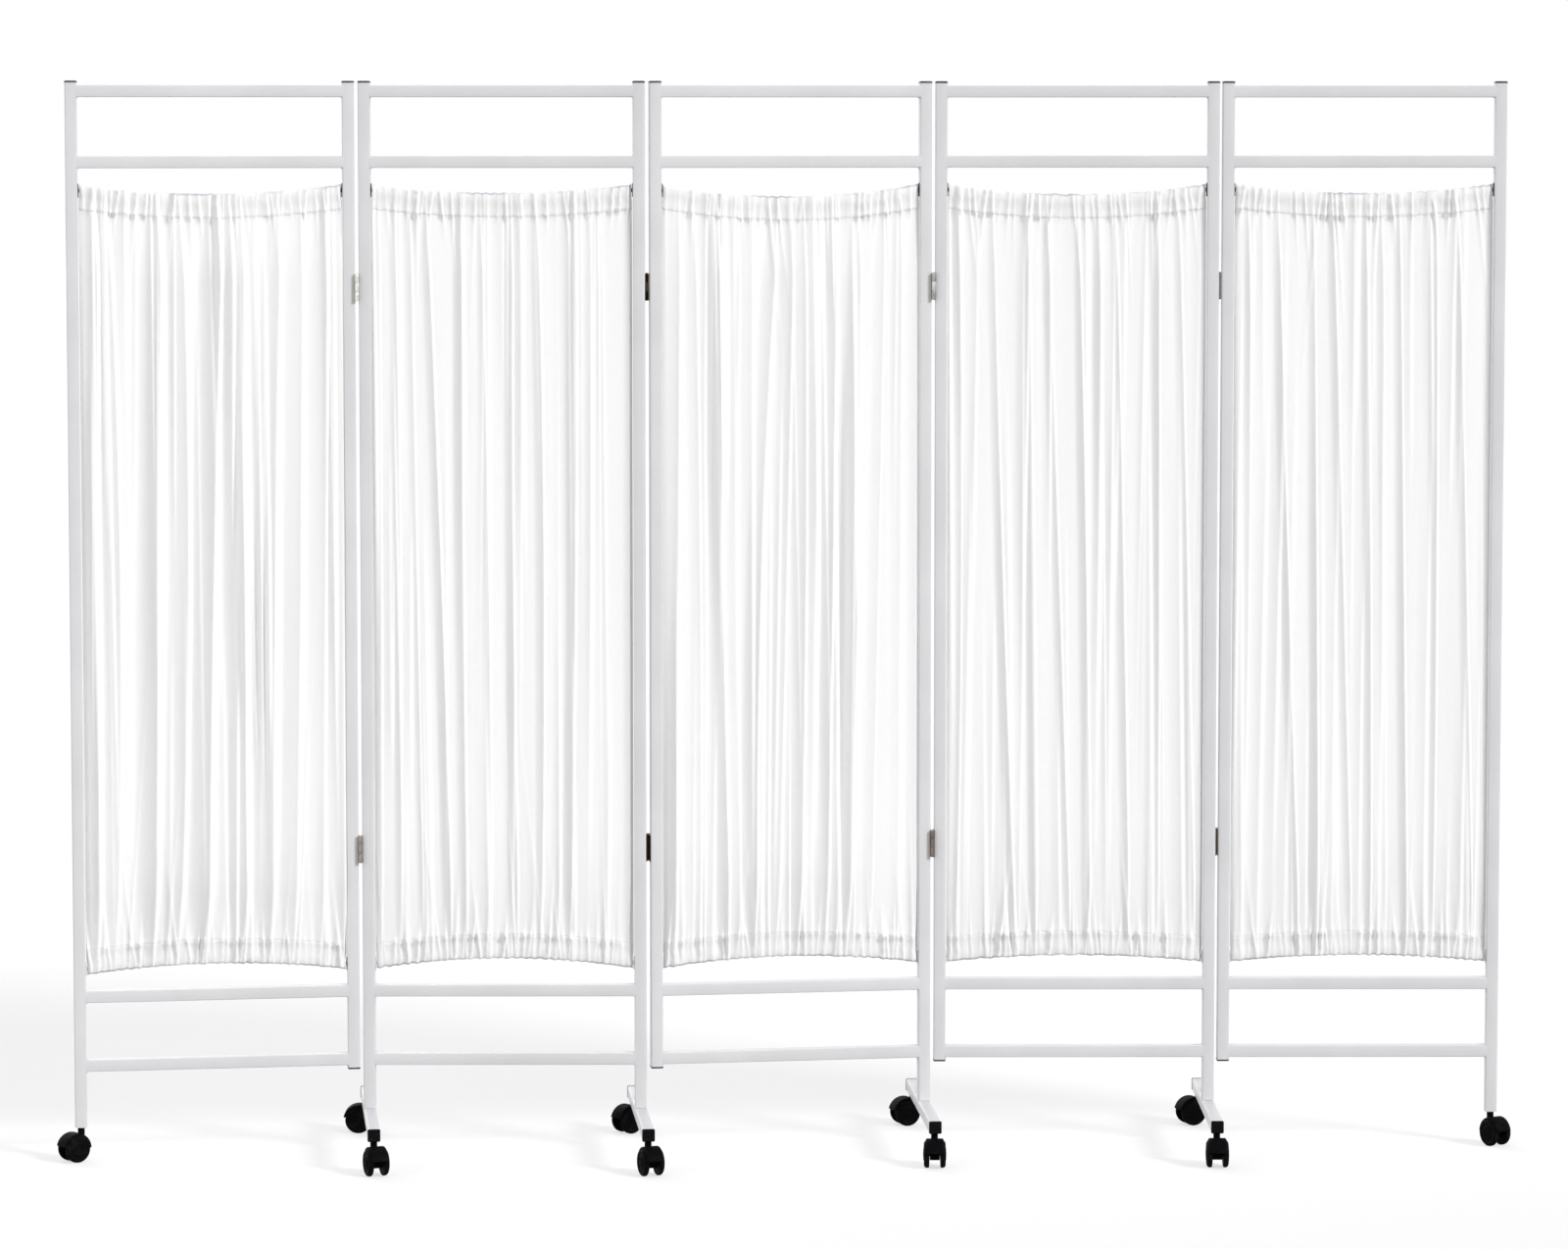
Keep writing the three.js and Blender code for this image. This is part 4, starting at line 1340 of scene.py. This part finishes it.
@dataclass(frozen=True)
class TubeFoot:
    """The T-feet: a square tube with a black plug in each end and a spigot up into the post."""

    layout: Layout = Layout()
    length: float = 400 * MM
    under: float = 57 * MM
    height: float = 20 * MM
    corner: float = 2.4 * MM
    drain: float = 3 * MM
    plug: float = 3 * MM
    plug_taper: float = 0.88
    plug_steps: tuple = ((1.6 * MM, 0), (1.2 * MM, -0.5 * MM))  # how far each is set in and raised
    plug_corner: float = 2.2 * MM
    lip: float = 0.8 * MM
    spigot: float = 8.4 * MM
    spigot_length: float = 60 * MM
    bodies: tuple = ("panel_2", "panel_2", "panel_3", "panel_4")

    def tube(self) -> Piece:
        """The tube with its drain hole and its spigot.

        Returns:
            The new mesh object, in the foot's own axes.
        """
        half, end, top = self.height / 2, self.length / 2 - self.plug, self.under + self.height
        obj = bar((-half, -end, self.under), (half, end, top), 1, self.corner)
        drain = rod((0, 0, self.under - 1 * MM), (0, 0, self.under + 4 * MM), self.drain, 24)
        spigot = rod((0, 0, top - 1 * MM), (0, 0, top + self.spigot_length), self.spigot, 40)
        return smooth(combine(combine(obj, drain, "DIFFERENCE"), spigot), 28)

    def end_plug(self) -> Piece:
        """A moulded plug in the tube's end, its seat at y = 0 and its face towards +Y."""
        side = self.height / 2 + self.lip
        return lid(1, side, self.plug, self.plug_taper, self.plug_corner, 30, *self.plug_steps)

    def build(self) -> None:
        """Models and dresses the four feet."""
        paint, plastic = FOOT_PAINT.make(), PLUG_PLASTIC.make()
        tube, plug = self.tube(), self.end_plug()
        end, middle = self.length / 2 - self.plug, self.under + self.height / 2
        for number, body in enumerate(self.bodies, 1):
            place = self.layout.foot(number)
            foot = copy_to(tube, f"foot_tube_{number}", place)
            dress(foot, paint, "foot", body, f"foot_{number}")
            for name, way in (("front", -1), ("back", 1)):
                at = place @ shift(0, way * end, middle) @ Matrix.Diagonal((1, way, 1, 1))
                dress(copy_to(plug, f"foot_plug_{number}_{name}", at), plastic, "caster_body", body)
        discard(tube, plug)


@dataclass(frozen=True)
class TwinCastor:
    """A castor with two wheels under a hood, which swivels on a stem."""

    layout: Layout = Layout()
    seat: float = 56.7 * MM
    wheel: float = 22.5 * MM
    wheel_width: float = 9.8 * MM
    half_pair: float = 19.2 * MM
    # A wheel's outer side, in millimetres: out from its face, and its distance from the axle
    wheel_side: tuple = ((0, 0), (0.1, 2.2), (-0.1, 4.4), (-1.1, 5.0), (-1.3, 7.2), (-0.3, 8.2),
                         (-0.3, 9.6), (-2.2, 11.4), (-2.5, 15.5), (-1.2, 17.3))
    rim_in: float = 1.2 * MM
    crown: float = 4.6 * MM  # rounding of a wheel's rim
    web: float = 8.2 * MM  # half of the housing's width between the wheels
    web_hub: float = 10 * MM
    web_bore: float = 3.6 * MM
    hood: float = 26.2 * MM
    hood_inside: float = 23.8 * MM
    hood_half: float = 15.2 * MM
    shoulder: float = 3.4 * MM
    start_deg: float = 12
    end_deg: float = 178
    trail: float = 14 * MM
    neck: float = 5.8 * MM
    neck_from: float = 6 * MM  # how far above the axle the neck starts
    stem: float = 4 * MM
    stem_length: float = 17 * MM
    axle: float = 3 * MM

    def housing(self) -> Piece:
        """The hood, web, neck and stem as one moulding.

        Returns:
            The new mesh object, in the castor's own axes.
        """
        r, half, web, bend = self.hood, self.hood_half, self.web, self.shoulder
        inside = self.hood_inside
        # Profile in Y and distance from the axle: over the hood, then down the web's side
        side = [(half - bend * (1 - s), r - bend * (1 - c)) for c, s in quarter(8)]
        side += [(half - 0.9 * MM, r - bend - 0.1 * MM), (half - 1.7 * MM, inside - 0.3 * MM),
                 (half - 2.4 * MM, inside), (web, inside), (web, self.axle)]
        points = [(0, -y, z) for y, z in side][::-1] + [(0, y, z) for y, z in side]
        span = math.radians(self.end_deg - self.start_deg)
        shell = turned(points, (0, 1, 0), 40, span)
        # The spin leaves upright either towards the front or the back, so it is brought round
        xs = [v.co.x for v in shell.data.vertices]
        back = 90 - self.end_deg if max(xs) > -min(xs) else 90 - self.start_deg
        shell.data.transform(Matrix.Rotation(math.radians(back), 4, "Y"))
        shell.data.transform(shift(self.trail, 0, self.wheel))
        # Across, the hub and its bore; upright, the neck and the stem
        for reach, radius, sides, how in ((web, self.web_hub, 48, "UNION"),
                                          (half, self.web_bore, 36, "DIFFERENCE")):
            ends = ((self.trail, way * reach, self.wheel) for way in (-1, 1))
            combine(shell, rod(*ends, radius, sides), how)
        for low, high, radius, sides in (
                (self.wheel + self.neck_from, self.seat, self.neck, 40),
                (self.seat - 1 * MM, self.seat + self.stem_length, self.stem, 32)):
            combine(shell, rod((0, 0, low), (0, 0, high), radius, sides))
        return smooth(soften(shell, 0.5 * MM, 2, 35), 35)

    def wheels(self) -> Piece:
        """Both wheels on their axle, turned about the Y axis and then put in place.

        Returns:
            The new mesh object, in the castor's own axes.
        """
        r, bend, outer = self.wheel, self.crown, self.half_pair
        inner, rim = outer - self.wheel_width, outer - self.rim_in
        side = [(outer + out * MM, z * MM) for out, z in self.wheel_side]
        side += [(rim - bend * (1 - c), r - bend * (1 - s)) for c, s in quarter(9)]
        side += [(inner + 1.0 * MM, r), (inner, r - 1.0 * MM), (inner, self.axle)]
        profile = [(0, y, z) for y, z in side] + [(0, -y, z) for y, z in side][::-1]
        obj = turned(profile, (0, 1, 0), 72)
        obj.data.transform(shift(self.trail, 0, self.wheel))
        return smooth(obj, 38)

    def build(self) -> None:
        """Models and dresses the ten castors."""
        plastic, tread = CASTER_PLASTIC.make(), TREAD_PLASTIC.make()
        housing, wheels = self.housing(), self.wheels()
        ends = [f"foot_{number}_{end}" for number in (1, 2, 3, 4) for end in ("front", "back")]
        for name in ("left_end", "right_end", *ends):
            place = self.layout.caster(name)
            dress(copy_to(housing, f"housing_{name}", place), plastic, "caster_body",
                  f"caster_swivel_{name}", f"caster_body_{name}")
            dress(copy_to(wheels, f"wheels_{name}", place), tread, "caster_wheel",
                  f"caster_axle_{name}", f"caster_wheels_{name}")
        discard(housing, wheels)


# ---------------------------------------------------------------- the studio


@dataclass(frozen=True)
class Studio:
    """A pale floor, a white surround and soft light, and the camera at the photograph's angle."""

    sky: float = 0.43
    # Each lamp's strength, its degrees from the front towards the right, its degrees above the
    # horizon, and the degrees that it covers as the object sees it
    lamps: tuple = (("key", 2.68, 54, 30, 14), ("fill", 0.96, -48, 15, 40),
                    ("back", 1.5, 215, 30, 60))
    lamp_away: float = 6
    floor_size: float = 120
    floor_colour: float = 0.34
    floor_glow: float = 0.63
    eye: tuple = (-0.0493, -8.7756, 1.7317)
    tilt_deg: float = 4.442  # below the horizon
    turn_deg: float = -0.284
    lens: float = 120.6
    sensor: float = 36
    lens_shift: tuple = (-0.001, -0.06)
    sight: float = 200

    def seen_white(self, graph: Graph) -> Socket:
        """What tells the camera's rays from the light's.

        Args:
            graph: the node tree that needs it.

        Returns:
            1 for what the camera sees, straight, in gloss or through glass, and 0 for lighting.
        """
        rays = graph.add("LightPath").outputs
        total = rays["Is Camera Ray"]
        for name in ("Is Glossy Ray", "Is Transmission Ray"):
            total = graph.out("Math", total, rays[name], operation="MAXIMUM")
        return total

    def surround(self) -> None:
        """The world: plain light, and white where the camera sees it."""
        world = bpy.data.worlds.new("surround")
        bpy.context.scene.world = world
        world.use_nodes = True
        graph = Graph(world.node_tree)
        both = (graph.out("Background", Color=WHITE, Strength=s) for s in (self.sky, 1))
        mix = graph.out("MixShader", self.seen_white(graph), *both)
        graph.feed(graph.tree.nodes["World Output"].inputs["Surface"], mix)

    def floor(self) -> None:
        """A wide pale floor that takes the object's shadow."""
        bpy.ops.mesh.primitive_plane_add(size=self.floor_size, location=(0, 0, 0))
        floor = named(bpy.context.object, "studio_floor")
        material = bpy.data.materials.new("studio_floor")
        material.use_nodes = True
        graph = Graph(material.node_tree)
        graph.tree.nodes.remove(graph.tree.nodes["Principled BSDF"])
        matt = graph.out("BsdfDiffuse", Color=(*(self.floor_colour,) * 3, 1))
        strength = graph.out("Math", self.seen_white(graph), self.floor_glow, operation="MULTIPLY")
        both = graph.out("AddShader", matt, graph.out("Emission", Color=WHITE, Strength=strength))
        graph.feed(graph.tree.nodes["Material Output"].inputs["Surface"], both)
        floor.data.materials.append(material)

    def lamp(self, name: str, strength: float, azimuth: float, height: float,
             spread: float) -> None:
        """A soft lamp far off.

        Args:
            name: the lamp's name.
            strength: in watts per square metre.
            azimuth: degrees from the front towards the right.
            height: degrees above the horizon.
            spread: degrees that it covers, seen from the object.
        """
        a, e = math.radians(azimuth), math.radians(height)
        towards = Vector((math.sin(a) * math.cos(e), -math.cos(a) * math.cos(e), math.sin(e)))
        bpy.ops.object.light_add(type="SUN", location=towards * self.lamp_away,
                                 rotation=towards.to_track_quat("Z", "Y").to_euler())
        lamp = bpy.context.object
        lamp.name = name
        lamp.data.energy = strength
        lamp.data.angle = math.radians(spread)

    def camera(self) -> None:
        """The camera, 8.8 m in front of the screen at the height of a person's eyes."""
        bpy.ops.object.camera_add(location=self.eye, rotation=(
            math.radians(90 - self.tilt_deg), 0, math.radians(self.turn_deg)))
        camera = bpy.context.object
        camera.name = "photograph_camera"
        camera.data.lens = self.lens
        camera.data.sensor_width = self.sensor
        camera.data.shift_x, camera.data.shift_y = self.lens_shift
        camera.data.clip_end = self.sight
        bpy.context.scene.camera = camera

    def build(self) -> None:
        """Sets up the studio."""
        bpy.context.scene.view_settings.view_transform = "Standard"
        self.surround()
        self.floor()
        for lamp in self.lamps:
            self.lamp(*lamp)
        self.camera()


def main() -> None:
    logging.basicConfig(level=logging.INFO, format="%(name)s: %(message)s")
    WeldedFrame().build()
    GatheredCurtain().build()
    ButtHinge().build()
    TubeFoot().build()
    TwinCastor().build()
    Studio().build()
    LOG.info("sizes written")


if __name__ == "__main__":
    main()
